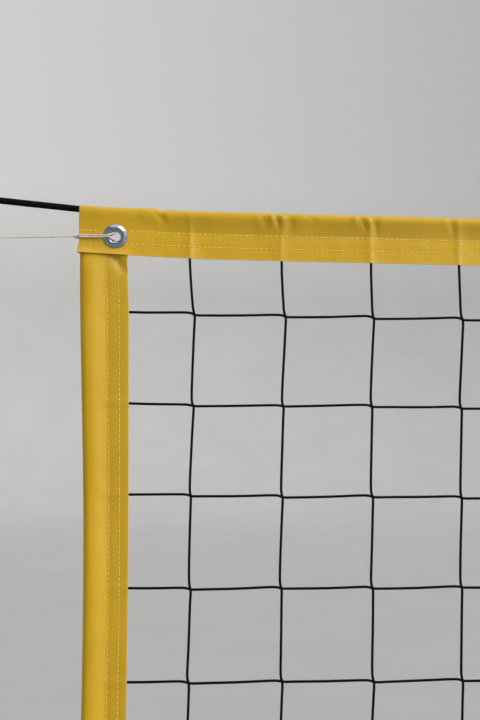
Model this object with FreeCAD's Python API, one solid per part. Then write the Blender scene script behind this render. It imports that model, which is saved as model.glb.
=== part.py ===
"""Volleyball net hung between two telescopic aluminium posts that stand on bolted base plates.

Row frame: X runs along the net, Y is its depth, Z is up. The origin is on the ground, midway between the
posts. Units are millimetres. A post is drawn in its own frame first: its axis is the local Z axis, local +X
points away from the net, and stand() turns it round and moves it to the left or the right end of the net.
"""

import FreeCAD
import Part
import math
import os

# ---- Net ----
NET_LENGTH = 8500.0
NET_HEIGHT = 1000.0
TOP_EDGE = 2430.0
MESH_COLUMNS = 87
MESH_ROWS = 10
HEAD_INSET = 15.5
FOOT_INSET = 20.0
SIDE_INSET = 20.5
TWINE = 2.5
BAND_WIDTH = 51.0
FABRIC = 0.8
NET_GAP = 2.9
TUNNEL_SLACK = 0.6
TUNNEL_REACH = 16.0
ROD_TUNNEL_REACH = 28.0
ROPE_DIAMETER = 6.0
BEND_RADIUS = 120.0
ROD_DIAMETER = 8.0
CORD_DIAMETER = 2.0
EYELET_FROM_END = 38.0
EYELET_FROM_EDGE = 30.5

# ---- Eyelets ----
EYELET_HOLE_RADIUS = 5.5
EYELET_BARREL_RADIUS = 6.4
EYELET_FLANGE_RADIUS = 13.0
EYELET_LIP_RADIUS = 8.6

# ---- Posts ----
POST_X = 4750.0
PLATE_SIDE = 400.0
PLATE_THICKNESS = 10.0
PLATE_CORNER = 25.0
ANCHOR_SPACING = 340.0
ANCHOR_HOLE_RADIUS = 7.0
SLEEVE_RADIUS = 45.0
SLEEVE_BORE = 40.3
SLEEVE_HEIGHT = 150.0
GUSSET_REACH = 150.0
GUSSET_HEIGHT = 110.0
GUSSET_THICKNESS = 6.0
LOWER_RADIUS = 40.0
LOWER_TOP = 940.0
UPPER_RADIUS = 35.0
UPPER_BOTTOM = 600.0
UPPER_TOP = 2345.0
TUBE_WALL = 3.0
RUNNING_GAP = 0.1

# ---- Post heads ----
ROPE_RISE_DEGREES = 5.2
SHEAVE_OUT = 19.0
SHEAVE_ROPE_RADIUS = 30.0
SHEAVE_FLANGE_RADIUS = 33.0
CHEEK_INNER = 8.5
CHEEK_THICKNESS = 5.0
FLANGE_THICKNESS = 8.0
TONGUE_HEIGHT = 23.0
TIE_PIN_IN = -32.0
TIE_PIN_RADIUS = 4.0
TIE_CORD_DROP_DEGREES = 1.6

# ---- Winch ----
DRUM_OUT = 82.0
DRUM_Z = 1700.0
DRUM_CORE_RADIUS = 29.7
DRUM_ROPE_RADIUS = 33.0
DRUM_FLANGE_RADIUS = 41.0
GEAR_TEETH = 36
PINION_TEETH = 12
GEAR_MODULE = 2.5
SHAFT_RADIUS = 8.0
FRAME_INNER = 26.0
FRAME_WALL = 4.0
GEAR_START = 32.0
GEAR_WIDTH = 8.0
CRANK_LENGTH = 160.0

# ---- Derived places ----
BOTTOM_EDGE = TOP_EDGE - NET_HEIGHT
NET_END = NET_LENGTH / 2
ROPE_RADIUS = ROPE_DIAMETER / 2
CORD_RADIUS = CORD_DIAMETER / 2
ROD_RADIUS = ROD_DIAMETER / 2
HALF_GAP = NET_GAP / 2
BAND_HALF = HALF_GAP + FABRIC
TUNNEL_DEPTH = ROPE_RADIUS + TUNNEL_SLACK + FABRIC
HEAD_ROPE_Z = TOP_EDGE - TUNNEL_DEPTH
FOOT_ROPE_Z = BOTTOM_EDGE + TUNNEL_DEPTH
POST_GAP = POST_X - NET_END
RISE = math.radians(ROPE_RISE_DEGREES)
SHEAVE_Z = (
    HEAD_ROPE_Z
    + (POST_GAP + SHEAVE_OUT - SHEAVE_ROPE_RADIUS * math.sin(RISE)) * math.tan(RISE)
    - SHEAVE_ROPE_RADIUS * math.cos(RISE)
)
EYELET_X = NET_END - EYELET_FROM_END
HEAD_EYELET_Z = TOP_EDGE - EYELET_FROM_EDGE
FOOT_EYELET_Z = BOTTOM_EDGE + EYELET_FROM_EDGE
HEAD_TIE_Z = HEAD_EYELET_Z - (POST_GAP + TIE_PIN_IN) * math.tan(math.radians(TIE_CORD_DROP_DEGREES))
THIMBLE_Z = HEAD_ROPE_Z + POST_GAP * math.tan(RISE)
PINION_Z = DRUM_Z - GEAR_MODULE * (GEAR_TEETH + PINION_TEETH) / 2
BRACKET_PIN_IN = -58.0
FOOT_TIE_Z = FOOT_EYELET_Z + 4.6
PIN_RADIUS = 5.0
CHEEK_OUTER = CHEEK_INNER + CHEEK_THICKNESS
CAP_TOP = UPPER_TOP + FLANGE_THICKNESS

LEFT = -1
RIGHT = 1
ORIGIN = FreeCAD.Vector(0, 0, 0)
ALONG_X = FreeCAD.Vector(1, 0, 0)
ALONG_Y = FreeCAD.Vector(0, 1, 0)
ALONG_Z = FreeCAD.Vector(0, 0, 1)


# ---- Shapes that several parts use ----
def vec(x, y, z):
    return FreeCAD.Vector(x, y, z)


def block(x0, x1, y0, y1, z0, z1):
    return Part.makeBox(x1 - x0, y1 - y0, z1 - z0, vec(x0, y0, z0))


def rod(start, end, radius):
    """A round bar from one point to another."""
    run = end.sub(start)
    return Part.makeCylinder(radius, run.Length, start, run)


def bar_y(radius, x, z, y0, y1):
    """A round bar along Y."""
    return rod(vec(x, y0, z), vec(x, y1, z), radius)


def pipe_z(outer, inner, z0, z1):
    """An upright tube on the Z axis."""
    return rod(vec(0, 0, z0), vec(0, 0, z1), outer).cut(rod(vec(0, 0, z0 - 1), vec(0, 0, z1 + 1), inner))


def polygon_y(points, y0, y1):
    """A plate cut to a polygon of (x, z) points, from y0 to y1."""
    corners = [vec(x, y0, z) for x, z in points]
    face = Part.Face(Part.makePolygon(corners + corners[:1]))
    return face.extrude(vec(0, y1 - y0, 0))


def belt_wire(circles, lift):
    """The outline of a belt run tightly round circles (x, y, radius), listed anticlockwise, at height lift."""
    tangents = []
    for (ax, ay, ar), (bx, by, br) in zip(circles, circles[1:] + circles[:1]):
        heading = math.atan2(by - ay, bx - ax)
        lean = math.acos((ar - br) / math.hypot(bx - ax, by - ay))
        angle = heading - lean
        out = (math.cos(angle), math.sin(angle))
        tangents.append(
            (
                vec(ax + ar * out[0], ay + ar * out[1], lift),
                vec(bx + br * out[0], by + br * out[1], lift),
                angle,
            )
        )
    edges = []
    for (start, end, angle), (next_start, _, next_angle), (cx, cy, r) in zip(
        tangents, tangents[1:] + tangents[:1], circles[1:] + circles[:1]
    ):
        edges.append(Part.LineSegment(start, end).toShape())
        middle = angle + ((next_angle - angle) % (2 * math.pi)) / 2
        top = vec(cx + r * math.cos(middle), cy + r * math.sin(middle), lift)
        edges.append(Part.Arc(end, top, next_start).toShape())
    return Part.Wire(edges)


def belt_plate_z(circles, z0, z1):
    """A flat plate with a belt outline in X and Y, from z0 to z1."""
    return Part.Face(belt_wire(circles, z0)).extrude(vec(0, 0, z1 - z0))


def belt_plate_y(circles, y0, y1):
    """A flat plate with a belt outline of (x, z, radius) circles, anticlockwise seen from -Y, from y0 to y1."""
    plate = belt_plate_z(circles, 0, y1 - y0)
    plate.rotate(ORIGIN, ALONG_X, 90)
    plate.translate(vec(0, y1, 0))
    return plate


def lathe_y(points, x, z):
    """A turned part about an axis along Y through (x, z), from (radius, y) points."""
    corners = [vec(x + r, y, z) for r, y in points]
    face = Part.Face(Part.makePolygon(corners + corners[:1]))
    return face.revolve(vec(x, 0, z), ALONG_Y, 360)


def bend(centre, reach, radius, axis, start, sweep):
    """A bent round bar: reach is the bend's own radius and start points from its centre to its first end."""
    first = centre.add(start.multiply(reach / start.Length))
    ring = Part.Circle(first, axis.cross(first.sub(centre)), radius)
    face = Part.Face(Part.Wire(ring.toShape()))
    return face.revolve(centre, axis, sweep)


def joined(shapes):
    """One solid out of shapes that meet."""
    whole = shapes[0].multiFuse(shapes[1:])
    return whole.removeSplitter()


def stand(shape, side):
    """A copy of a part in post coordinates, moved to the left or the right post."""
    placed = shape.copy()
    if side == LEFT:
        placed.rotate(ORIGIN, ALONG_Z, 180)
    placed.translate(vec(side * POST_X, 0, 0))
    return placed


def both(shape):
    return [stand(shape, LEFT), stand(shape, RIGHT)]


def hexagon_y(across, x, z, y0, y1):
    """A hexagon nut or bolt head on an axis along Y."""
    reach = across / math.sqrt(3)
    corners = [(x + reach * math.cos(k * math.pi / 3), z + reach * math.sin(k * math.pi / 3)) for k in range(6)]
    return polygon_y(corners, y0, y1)


# ---- Net: bands, ropes, rods, twines ----
def tangent_point(half, depth, radius, centre_depth):
    """Where a line from (half, -depth) touches the tunnel's circle."""
    rise = depth - centre_depth
    turn = math.atan2(-rise, half) + math.acos(radius / math.hypot(half, rise))
    return radius * math.cos(turn), -centre_depth + radius * math.sin(turn)


def band_strip(length, core_radius, flat_from):
    """A doubled fabric band along +X with its fold at Z = 0, round a core, hanging down to its free edges."""
    inner = core_radius + TUNNEL_SLACK
    outer = inner + FABRIC
    outer_y, outer_z = tangent_point(BAND_HALF, flat_from, outer, outer)
    inner_y, inner_z = tangent_point(HALF_GAP, flat_from, inner, outer)

    def at(y, z):
        return vec(0, y, z)

    def line(a, b):
        return Part.LineSegment(a, b).toShape()

    edges = [
        line(at(BAND_HALF, -BAND_WIDTH), at(BAND_HALF, -flat_from)),
        line(at(BAND_HALF, -flat_from), at(outer_y, outer_z)),
        Part.Arc(at(outer_y, outer_z), at(0, 0), at(-outer_y, outer_z)).toShape(),
        line(at(-outer_y, outer_z), at(-BAND_HALF, -flat_from)),
        line(at(-BAND_HALF, -flat_from), at(-BAND_HALF, -BAND_WIDTH)),
        line(at(-BAND_HALF, -BAND_WIDTH), at(-HALF_GAP, -BAND_WIDTH)),
        line(at(-HALF_GAP, -BAND_WIDTH), at(-HALF_GAP, -flat_from)),
        line(at(-HALF_GAP, -flat_from), at(-inner_y, inner_z)),
        Part.Arc(at(-inner_y, inner_z), at(0, -FABRIC), at(inner_y, inner_z)).toShape(),
        line(at(inner_y, inner_z), at(HALF_GAP, -flat_from)),
        line(at(HALF_GAP, -flat_from), at(HALF_GAP, -BAND_WIDTH)),
        line(at(HALF_GAP, -BAND_WIDTH), at(BAND_HALF, -BAND_WIDTH)),
    ]
    return Part.Face(Part.Wire(edges)).extrude(vec(length, 0, 0))


def eyelet_holes(z):
    reach = EYELET_BARREL_RADIUS + RUNNING_GAP
    return [bar_y(reach, side * EYELET_X, z, -BAND_WIDTH, BAND_WIDTH) for side in (LEFT, RIGHT)]


def head_band():
    band = band_strip(NET_LENGTH, ROPE_RADIUS, TUNNEL_REACH)
    band.translate(vec(-NET_END, 0, TOP_EDGE))
    return band.cut(eyelet_holes(HEAD_EYELET_Z))


def foot_band():
    band = band_strip(NET_LENGTH, ROPE_RADIUS, TUNNEL_REACH)
    band.rotate(ORIGIN, ALONG_X, 180)
    band.translate(vec(-NET_END, 0, BOTTOM_EDGE))
    return band.cut(eyelet_holes(FOOT_EYELET_Z))


def side_band(side):
    band = band_strip(NET_HEIGHT - 2 * BAND_WIDTH, ROD_RADIUS, ROD_TUNNEL_REACH)
    band.rotate(ORIGIN, ALONG_Y, side * 90)
    foot = TOP_EDGE - BAND_WIDTH if side == RIGHT else BOTTOM_EDGE + BAND_WIDTH
    band.translate(vec(side * NET_END, 0, foot))
    return band


def side_rods():
    inset = ROD_RADIUS + TUNNEL_SLACK + FABRIC
    ends = (BOTTOM_EDGE + BAND_WIDTH + 2, TOP_EDGE - BAND_WIDTH - 2)
    return [
        rod(vec(side * (NET_END - inset), 0, ends[0]), vec(side * (NET_END - inset), 0, ends[1]), ROD_RADIUS)
        for side in (LEFT, RIGHT)
    ]


def netting():
    """Upright twines behind level ones, half a twine thick each, so that they meet where they cross."""
    half = TWINE / 2
    first = -NET_END + SIDE_INSET
    last = NET_END - SIDE_INSET
    low = BOTTOM_EDGE + FOOT_INSET
    high = TOP_EDGE - HEAD_INSET
    column = (last - first) / MESH_COLUMNS
    row = (high - low) / MESH_ROWS
    uprights = [
        block(first + k * column - half, first + k * column + half, 0, half, low - half, high + half)
        for k in range(MESH_COLUMNS + 1)
    ]
    rows = [
        block(first - half, last + half, -half, 0, low + k * row - half, low + k * row + half)
        for k in range(MESH_ROWS + 1)
    ]
    return uprights, rows


# ---- Eyelets and tie cords ----
def eyelet_places():
    return [(side * EYELET_X, z) for side in (LEFT, RIGHT) for z in (HEAD_EYELET_Z, FOOT_EYELET_Z)]


def eyelet(x, z):
    """A pressed eyelet: a domed front flange, a barrel through the band and a lip rolled over the washer."""
    front = -BAND_HALF - 0.05
    dome_end = vec(x + EYELET_FLANGE_RADIUS, front, z)
    hole_top = vec(x + EYELET_HOLE_RADIUS, front - 0.9, z)
    dome_top = vec(x + EYELET_LIP_RADIUS, front - 2.5, z)
    back = BAND_HALF + 1.75
    corners = [
        dome_end,
        vec(x + EYELET_BARREL_RADIUS, front, z),
        vec(x + EYELET_BARREL_RADIUS, back, z),
        vec(x + EYELET_LIP_RADIUS, back, z),
        vec(x + EYELET_LIP_RADIUS, back + 0.6, z),
        vec(x + EYELET_HOLE_RADIUS, back + 0.6, z),
        hole_top,
    ]
    edges = [Part.LineSegment(a, b).toShape() for a, b in zip(corners, corners[1:])]
    edges.append(Part.Arc(hole_top, dome_top, dome_end).toShape())
    return Part.Face(Part.Wire(edges)).revolve(vec(x, 0, z), ALONG_Y, 360)


def washer(x, z):
    inner = EYELET_BARREL_RADIUS + 0.05
    front = BAND_HALF + 0.05
    edge = EYELET_FLANGE_RADIUS
    return lathe_y([(inner, front), (edge, front), (edge, front + 0.7), (edge - 1, front + 1.6), (inner, front + 1.6)], x, z)


def tie_cord(side, eyelet_z, pin_x, pin_z):
    """A cord taken twice through an eyelet, knotted at the band's end, run to a pin and looped round it."""
    reach = 7.6
    lane = 1.4
    half_gap = 2.2
    turn_x = EYELET_X + 10.2
    knot = vec(side * (NET_END + 7.5), 0, eyelet_z)
    length = NET_END + 7.5 - turn_x
    touch = math.atan2(half_gap, length) + math.acos(reach / math.hypot(half_gap, length))
    pieces = [Part.makeSphere(4.2, knot)]
    for level in (-lane, lane):
        z = eyelet_z + level
        turn = tuple(
            vec(side * (turn_x + reach * math.cos(angle)), reach * math.sin(angle), z)
            for angle in (touch, math.pi, -touch)
        )
        ends = [knot.add(vec(0, face * half_gap, level)) for face in (1, -1)]
        pieces.append(swept([ends[0], turn, ends[1]], CORD_RADIUS))
    loop_radius = TIE_PIN_RADIUS + CORD_RADIUS + 0.3
    loop = Part.makeTorus(loop_radius, CORD_RADIUS, vec(pin_x, 0, pin_z), ALONG_Y)
    run = vec(pin_x, 0, pin_z).sub(knot).normalize()
    loop_knot = vec(pin_x, 0, pin_z).sub(run * (loop_radius + 2))
    pieces += [loop, Part.makeSphere(2.6, loop_knot), rod(knot, loop_knot, CORD_RADIUS)]
    return joined(pieces)


def along(centre, reach, degrees):
    """A point at an angle about a centre in the plane of the net, measured from +X towards +Z."""
    angle = math.radians(degrees)
    return centre.add(vec(math.cos(angle), 0, math.sin(angle)) * reach)


def swept(points, radius):
    """A round rope along a smooth path. A point is a place, or the three points (start, middle, end) of an arc."""
    edges = []
    at = points[0]
    for point in points[1:]:
        if isinstance(point, tuple):
            edges.append(Part.LineSegment(at, point[0]).toShape())
            edges.append(Part.Arc(*point).toShape())
            at = point[2]
        else:
            edges.append(Part.LineSegment(at, point).toShape())
            at = point
    path = Part.Wire(edges)
    heading = edges[0].tangentAt(edges[0].FirstParameter)
    profile = Part.Wire(Part.Circle(points[0], heading, radius).toShape())
    return path.makePipeShell([profile], True, False)


def head_rope():
    """From the drum's last turn up the left post, over the sheave, through the head band to the right post."""
    drum = vec(-POST_X - DRUM_OUT, 0, DRUM_Z)
    sheave = vec(-POST_X - SHEAVE_OUT, 0, SHEAVE_Z)
    soften = BEND_RADIUS * math.tan(RISE / 2)
    bends = []
    for side in (LEFT, RIGHT):
        centre = vec(side * (NET_END - soften), 0, HEAD_ROPE_Z + BEND_RADIUS)
        turns = [along(centre, BEND_RADIUS, -90 + side * share * ROPE_RISE_DEGREES) for share in (1, 0.5, 0)]
        bends.append(tuple(turns) if side == LEFT else tuple(reversed(turns)))
    ferrule_start = rope_line_right(-FERRULE_IN - FERRULE_LENGTH)
    turn = tuple(along(sheave, SHEAVE_ROPE_RADIUS, a) for a in (180, 135, 90 - ROPE_RISE_DEGREES))
    wound = bend(drum, DRUM_ROPE_RADIUS, ROPE_RADIUS, ALONG_Y, vec(1, 0, 0), 270)
    run = swept([vec(drum.x + DRUM_ROPE_RADIUS, 0, DRUM_Z), turn, bends[0], bends[1], ferrule_start], ROPE_RADIUS)
    return [wound, run]


# ---- The head rope's fixed end on the right post ----
THIMBLE_PIN_RADIUS = 6.0
THIMBLE_RADIUS = 9.5
EYE_ROPE_RADIUS = THIMBLE_RADIUS + ROPE_RADIUS + 0.2
FERRULE_RADIUS = 7.0
FERRULE_LENGTH = 32.0
FERRULE_IN = EYE_ROPE_RADIUS + ROPE_RADIUS + 2


def rope_line_right(out):
    """A point on the head rope's sloping run beside the right post, by its distance from the post's axis."""
    return vec(POST_X + out, 0, THIMBLE_Z + out * math.tan(RISE))


def thimble():
    inner = THIMBLE_PIN_RADIUS + 0.3
    groove = [(inner, -4), (THIMBLE_RADIUS + 1.5, -4), (THIMBLE_RADIUS - 0.5, -1)]
    groove += [(THIMBLE_RADIUS - 0.5, 1), (THIMBLE_RADIUS + 1.5, 4), (inner, 4)]
    return lathe_y(groove, POST_X, THIMBLE_Z)


def rope_eye():
    """The rope's end, bent round the thimble and back into the ferrule."""
    centre = vec(POST_X, 0, THIMBLE_Z)
    mouth = rope_line_right(-FERRULE_IN)
    ring = Part.makeTorus(EYE_ROPE_RADIUS, ROPE_RADIUS, centre, ALONG_Y)
    return joined([ring, rod(rope_line_right(-EYE_ROPE_RADIUS), mouth, ROPE_RADIUS)])


def ferrule():
    return rod(rope_line_right(-FERRULE_IN - FERRULE_LENGTH), rope_line_right(-FERRULE_IN), FERRULE_RADIUS)


# ---- Foot rope ----
def foot_rope():
    """Runs through the foot band and is looped round a pin on each post's lower bracket."""
    pin_x = POST_X + BRACKET_PIN_IN
    loop_radius = PIN_RADIUS + ROPE_RADIUS + 0.4
    pieces = [rod(vec(-pin_x + loop_radius, 0, FOOT_ROPE_Z), vec(pin_x - loop_radius, 0, FOOT_ROPE_Z), ROPE_RADIUS)]
    for side in (LEFT, RIGHT):
        pieces.append(Part.makeTorus(loop_radius, ROPE_RADIUS, vec(side * pin_x, 0, FOOT_ROPE_Z), ALONG_Y))
        knot_x = side * (pin_x - loop_radius - ROPE_RADIUS - 4)
        pieces.append(rod(vec(knot_x - 8, 0, FOOT_ROPE_Z), vec(knot_x + 8, 0, FOOT_ROPE_Z), 5.5))
    return joined(pieces)


# ---- Post: base ----
def base_plate():
    half = PLATE_SIDE / 2
    reach = half - PLATE_CORNER
    corners = [(-reach, -reach), (reach, -reach), (reach, reach), (-reach, reach)]
    plate = belt_plate_z([(x, y, PLATE_CORNER) for x, y in corners], 0, PLATE_THICKNESS)
    offset = ANCHOR_SPACING / 2
    holes = [
        rod(vec(x, y, -1), vec(x, y, PLATE_THICKNESS + 1), ANCHOR_HOLE_RADIUS)
        for x in (-offset, offset)
        for y in (-offset, offset)
    ]
    return plate.cut(holes)


SCREW_RADIUS = 5.0
SCREW_Z = 120.0


def base_sleeve():
    sleeve = pipe_z(SLEEVE_RADIUS, SLEEVE_BORE, PLATE_THICKNESS, PLATE_THICKNESS + SLEEVE_HEIGHT)
    return sleeve.cut(rod(vec(-SLEEVE_RADIUS * 2, 0, SCREW_Z), vec(SLEEVE_RADIUS * 2, 0, SCREW_Z), SCREW_RADIUS))


def sleeve_screws():
    """Two hexagon screws that press on the lower tube from either side."""
    screws = []
    for sign in (-1, 1):
        tip = vec(sign * (LOWER_RADIUS + 0.05), 0, SCREW_Z)
        seat = vec(sign * (SLEEVE_RADIUS + 4), 0, SCREW_Z)
        shank = rod(tip, seat, SCREW_RADIUS - 0.05)
        head = hexagon_y(16, 0, 0, 0, 7)
        head.rotate(ORIGIN, ALONG_Z, -sign * 90)
        head.translate(seat)
        screws.append(joined([shank, head]))
    return screws


def gussets():
    """Four triangular ribs between the plate and the sleeve, on its diagonals."""
    ribs = []
    start = SLEEVE_RADIUS + 0.05
    z0 = PLATE_THICKNESS
    outline = [(start, z0), (GUSSET_REACH, z0), (GUSSET_REACH, z0 + 12), (start + 12, z0 + GUSSET_HEIGHT)]
    outline.append((start, z0 + GUSSET_HEIGHT))
    for k in range(4):
        rib = polygon_y(outline, -GUSSET_THICKNESS / 2, GUSSET_THICKNESS / 2)
        rib.rotate(ORIGIN, ALONG_Z, 45 + 90 * k)
        ribs.append(rib.cut(rod(vec(0, 0, 0), vec(0, 0, LOWER_TOP), SLEEVE_RADIUS + 0.05)))
    return ribs


# ---- Post: tubes and height clamp ----
GUIDE_DEPTH = 40.0
GUIDE_FLANGE = 8.0
CLAMP_HEIGHT = 30.0
CLAMP_RADIUS = 44.0
CLAMP_Z = LOWER_TOP + GUIDE_FLANGE
EAR_OUT = 54.0
EAR_HALF = 10.0
SPLIT_HALF = 2.0
LEVER_Y = 24.0
CLAMP_MIDDLE = CLAMP_Z + CLAMP_HEIGHT / 2
CLAMP_BOLT_RADIUS = 4.0
LEVER_PIN_RADIUS = 3.0


def lower_tube():
    return pipe_z(LOWER_RADIUS, LOWER_RADIUS - TUBE_WALL, PLATE_THICKNESS, LOWER_TOP)


def guide_collar():
    """A plastic insert in the lower tube's mouth that the upper tube slides through."""
    bore = UPPER_RADIUS + RUNNING_GAP
    insert = pipe_z(LOWER_RADIUS - TUBE_WALL - 0.05, bore, LOWER_TOP - GUIDE_DEPTH, LOWER_TOP)
    flange = pipe_z(LOWER_RADIUS + 2, bore, LOWER_TOP, LOWER_TOP + GUIDE_FLANGE)
    return joined([insert, flange])


def clamp_ring():
    """A split ring with two ears that the lever draws together round the upper tube."""
    ring = pipe_z(CLAMP_RADIUS, UPPER_RADIUS + 0.2, CLAMP_Z, CLAMP_Z + CLAMP_HEIGHT)
    ears = block(UPPER_RADIUS + 4, EAR_OUT + 9, -EAR_HALF, EAR_HALF, CLAMP_Z + 3, CLAMP_Z + CLAMP_HEIGHT - 3)
    split = block(0, EAR_OUT * 2, -SPLIT_HALF, SPLIT_HALF, CLAMP_Z - 1, CLAMP_Z + CLAMP_HEIGHT + 1)
    hole = bar_y(CLAMP_BOLT_RADIUS + 0.2, EAR_OUT, CLAMP_MIDDLE, -EAR_HALF * 2, EAR_HALF * 2)
    return joined([ring, ears]).cut([split, hole])


def clamp_bolt():
    """The bolt through the ears, with a nut at one end and the lever's pin through the other."""
    shank = bar_y(CLAMP_BOLT_RADIUS, EAR_OUT, CLAMP_MIDDLE, -EAR_HALF - 6, LEVER_Y + 4)
    nut = hexagon_y(13, EAR_OUT, CLAMP_MIDDLE, -EAR_HALF - 6.5, -EAR_HALF - 0.05)
    low = vec(EAR_OUT, LEVER_Y, CLAMP_MIDDLE - 9)
    high = vec(EAR_OUT, LEVER_Y, CLAMP_MIDDLE + 9)
    return joined([shank, nut, rod(low, high, LEVER_PIN_RADIUS)])


def clamp_lever():
    """A cam lever, forked round the bolt, that lies beside the ring when it is closed."""
    half = 8.0
    outline = [(EAR_OUT, LEVER_Y, 10), (8, 66, 5), (EAR_OUT - 20, LEVER_Y + 14, 5)]
    lever = belt_plate_z(outline, CLAMP_MIDDLE - half, CLAMP_MIDDLE + half)
    slot_low = vec(EAR_OUT, LEVER_Y, CLAMP_MIDDLE - 4.5)
    slot_high = vec(EAR_OUT, LEVER_Y, CLAMP_MIDDLE + 4.5)
    slot = rod(slot_low, slot_high, 14)
    bore = rod(vec(EAR_OUT, LEVER_Y, CLAMP_Z), vec(EAR_OUT, LEVER_Y, CLAMP_Z + CLAMP_HEIGHT), LEVER_PIN_RADIUS + 0.1)
    return lever.cut([slot, bore])


def upper_tube():
    tube = pipe_z(UPPER_RADIUS, UPPER_RADIUS - TUBE_WALL, UPPER_BOTTOM, UPPER_TOP)
    return tube


def winch_tube():
    """The left post's upper tube, drilled for the winch's two bolts."""
    holes = [rod(vec(0, 0, z), vec(UPPER_RADIUS * 2, 0, z), WINCH_BOLT_RADIUS + 0.1) for z in WINCH_BOLTS_Z]
    return upper_tube().cut(holes)


def slide_bush():
    """A plastic ring round the upper tube's foot that runs in the lower tube."""
    outer = LOWER_RADIUS - TUBE_WALL - RUNNING_GAP
    return pipe_z(outer, UPPER_RADIUS + 0.05, UPPER_BOTTOM, UPPER_BOTTOM + GUIDE_DEPTH)


# ---- Post: head ----
CAP_BOLT_OUT = 15.0
CAP_BOLT_Z = CAP_TOP + 12
CAP_BOLT_RADIUS = 4.0


def head_cap():
    """A cap plugged into the upper tube, with a tongue between the two cheeks."""
    plug = pipe_z(UPPER_RADIUS - TUBE_WALL - 0.05, 20, UPPER_TOP - 30, UPPER_TOP)
    flange = rod(vec(0, 0, UPPER_TOP), vec(0, 0, CAP_TOP), UPPER_RADIUS + 1)
    tongue = block(-25, 25, -CHEEK_INNER + 0.05, CHEEK_INNER - 0.05, CAP_TOP, CAP_TOP + TONGUE_HEIGHT)
    holes = [bar_y(CAP_BOLT_RADIUS + 0.1, x, CAP_BOLT_Z, -20, 20) for x in (-CAP_BOLT_OUT, CAP_BOLT_OUT)]
    return joined([plug, flange, tongue]).cut(holes)


def head_cheeks(axle_out, axle_z, axle_radius):
    """Two plates bolted to the cap's tongue that hold the sheave's axle or the thimble's pin, and the tie pin."""
    foot = CAP_TOP + 8.05
    outline = [(-24, foot, 8), (24, foot, 8), (axle_out, axle_z, 16), (TIE_PIN_IN, HEAD_TIE_Z, 9)]
    holes = [
        (axle_out, axle_z, axle_radius + 0.1),
        (TIE_PIN_IN, HEAD_TIE_Z, TIE_PIN_RADIUS + 0.1),
        (CAP_BOLT_OUT, CAP_BOLT_Z, CAP_BOLT_RADIUS + 0.1),
        (-CAP_BOLT_OUT, CAP_BOLT_Z, CAP_BOLT_RADIUS + 0.1),
    ]
    plates = []
    for y0, y1 in ((-CHEEK_OUTER, -CHEEK_INNER), (CHEEK_INNER, CHEEK_OUTER)):
        plate = belt_plate_y(outline, y0, y1)
        plates.append(plate.cut([bar_y(r, x, z, -20, 20) for x, z, r in holes]))
    return plates


def cross_bolt(x, z, radius, head_across):
    """A bolt through both cheeks with its head and nut outside them."""
    reach = CHEEK_OUTER + 0.05
    head = hexagon_y(head_across, x, z, -reach - radius, -reach)
    nut = hexagon_y(head_across, x, z, reach, reach + radius)
    return joined([bar_y(radius, x, z, -reach - radius, reach + radius), head, nut])


def sheave():
    """A grooved wheel that turns the head rope down the post."""
    width = 7.0
    bottom = SHEAVE_ROPE_RADIUS - ROPE_RADIUS - 0.3
    rim = SHEAVE_FLANGE_RADIUS
    bore = PIN_RADIUS + RUNNING_GAP
    profile = [(bore, -width), (11, -width), (13, -5), (24, -5), (26, -width), (rim, -width), (rim, -5.5)]
    profile += [(bottom, -3), (bottom, 3), (rim, 5.5), (rim, width), (26, width), (24, 5), (13, 5), (11, width)]
    profile.append((bore, width))
    return lathe_y(profile, SHEAVE_OUT, SHEAVE_Z)


# ---- Post: lower bracket ----
BRACKET_Z = FOOT_ROPE_Z - 24
BRACKET_HEIGHT = 74.0


def lower_bracket():
    """A collar on the upper tube with two lugs that carry the foot rope's pin and the lower tie cord's pin."""
    collar = pipe_z(UPPER_RADIUS + 7, UPPER_RADIUS + 0.05, BRACKET_Z, BRACKET_Z + BRACKET_HEIGHT)
    pieces = [collar]
    middle = (FOOT_ROPE_Z + FOOT_TIE_Z) / 2
    for y0, y1 in ((-CHEEK_OUTER, -CHEEK_INNER), (CHEEK_INNER, CHEEK_OUTER)):
        outline = [(BRACKET_PIN_IN, FOOT_ROPE_Z, 13), (-37, middle - 12, 16), (-37, middle + 12, 16)]
        outline.append((BRACKET_PIN_IN, FOOT_TIE_Z, 11))
        lug = belt_plate_y(outline, y0, y1)
        pieces.append(lug.cut(rod(vec(0, 0, 0), vec(0, 0, TOP_EDGE), UPPER_RADIUS + 2)))
    holes = [
        bar_y(PIN_RADIUS + 0.05, BRACKET_PIN_IN, FOOT_ROPE_Z, -20, 20),
        bar_y(TIE_PIN_RADIUS + 0.05, BRACKET_PIN_IN, FOOT_TIE_Z, -20, 20),
    ]
    return joined(pieces).cut(holes)


# ---- Winch, in the left post's own frame ----
WINCH_BOLTS_Z = (1600.0, 1754.0)
WINCH_BOLT_RADIUS = 4.0
FRAME_OUTER = FRAME_INNER + FRAME_WALL
FRAME_BACK = UPPER_RADIUS + 0.05
DRUM_HALF = 20.0
DRUM_FLANGE = 2.5
BRAKE_START = GEAR_START + GEAR_WIDTH + 2
CRANK_START = BRAKE_START + 8
CRANK_THICKNESS = 8.0
CRANK_Z = PINION_Z - CRANK_LENGTH
GRIP_START = CRANK_START + CRANK_THICKNESS + 2
GRIP_LENGTH = 84.0


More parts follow.
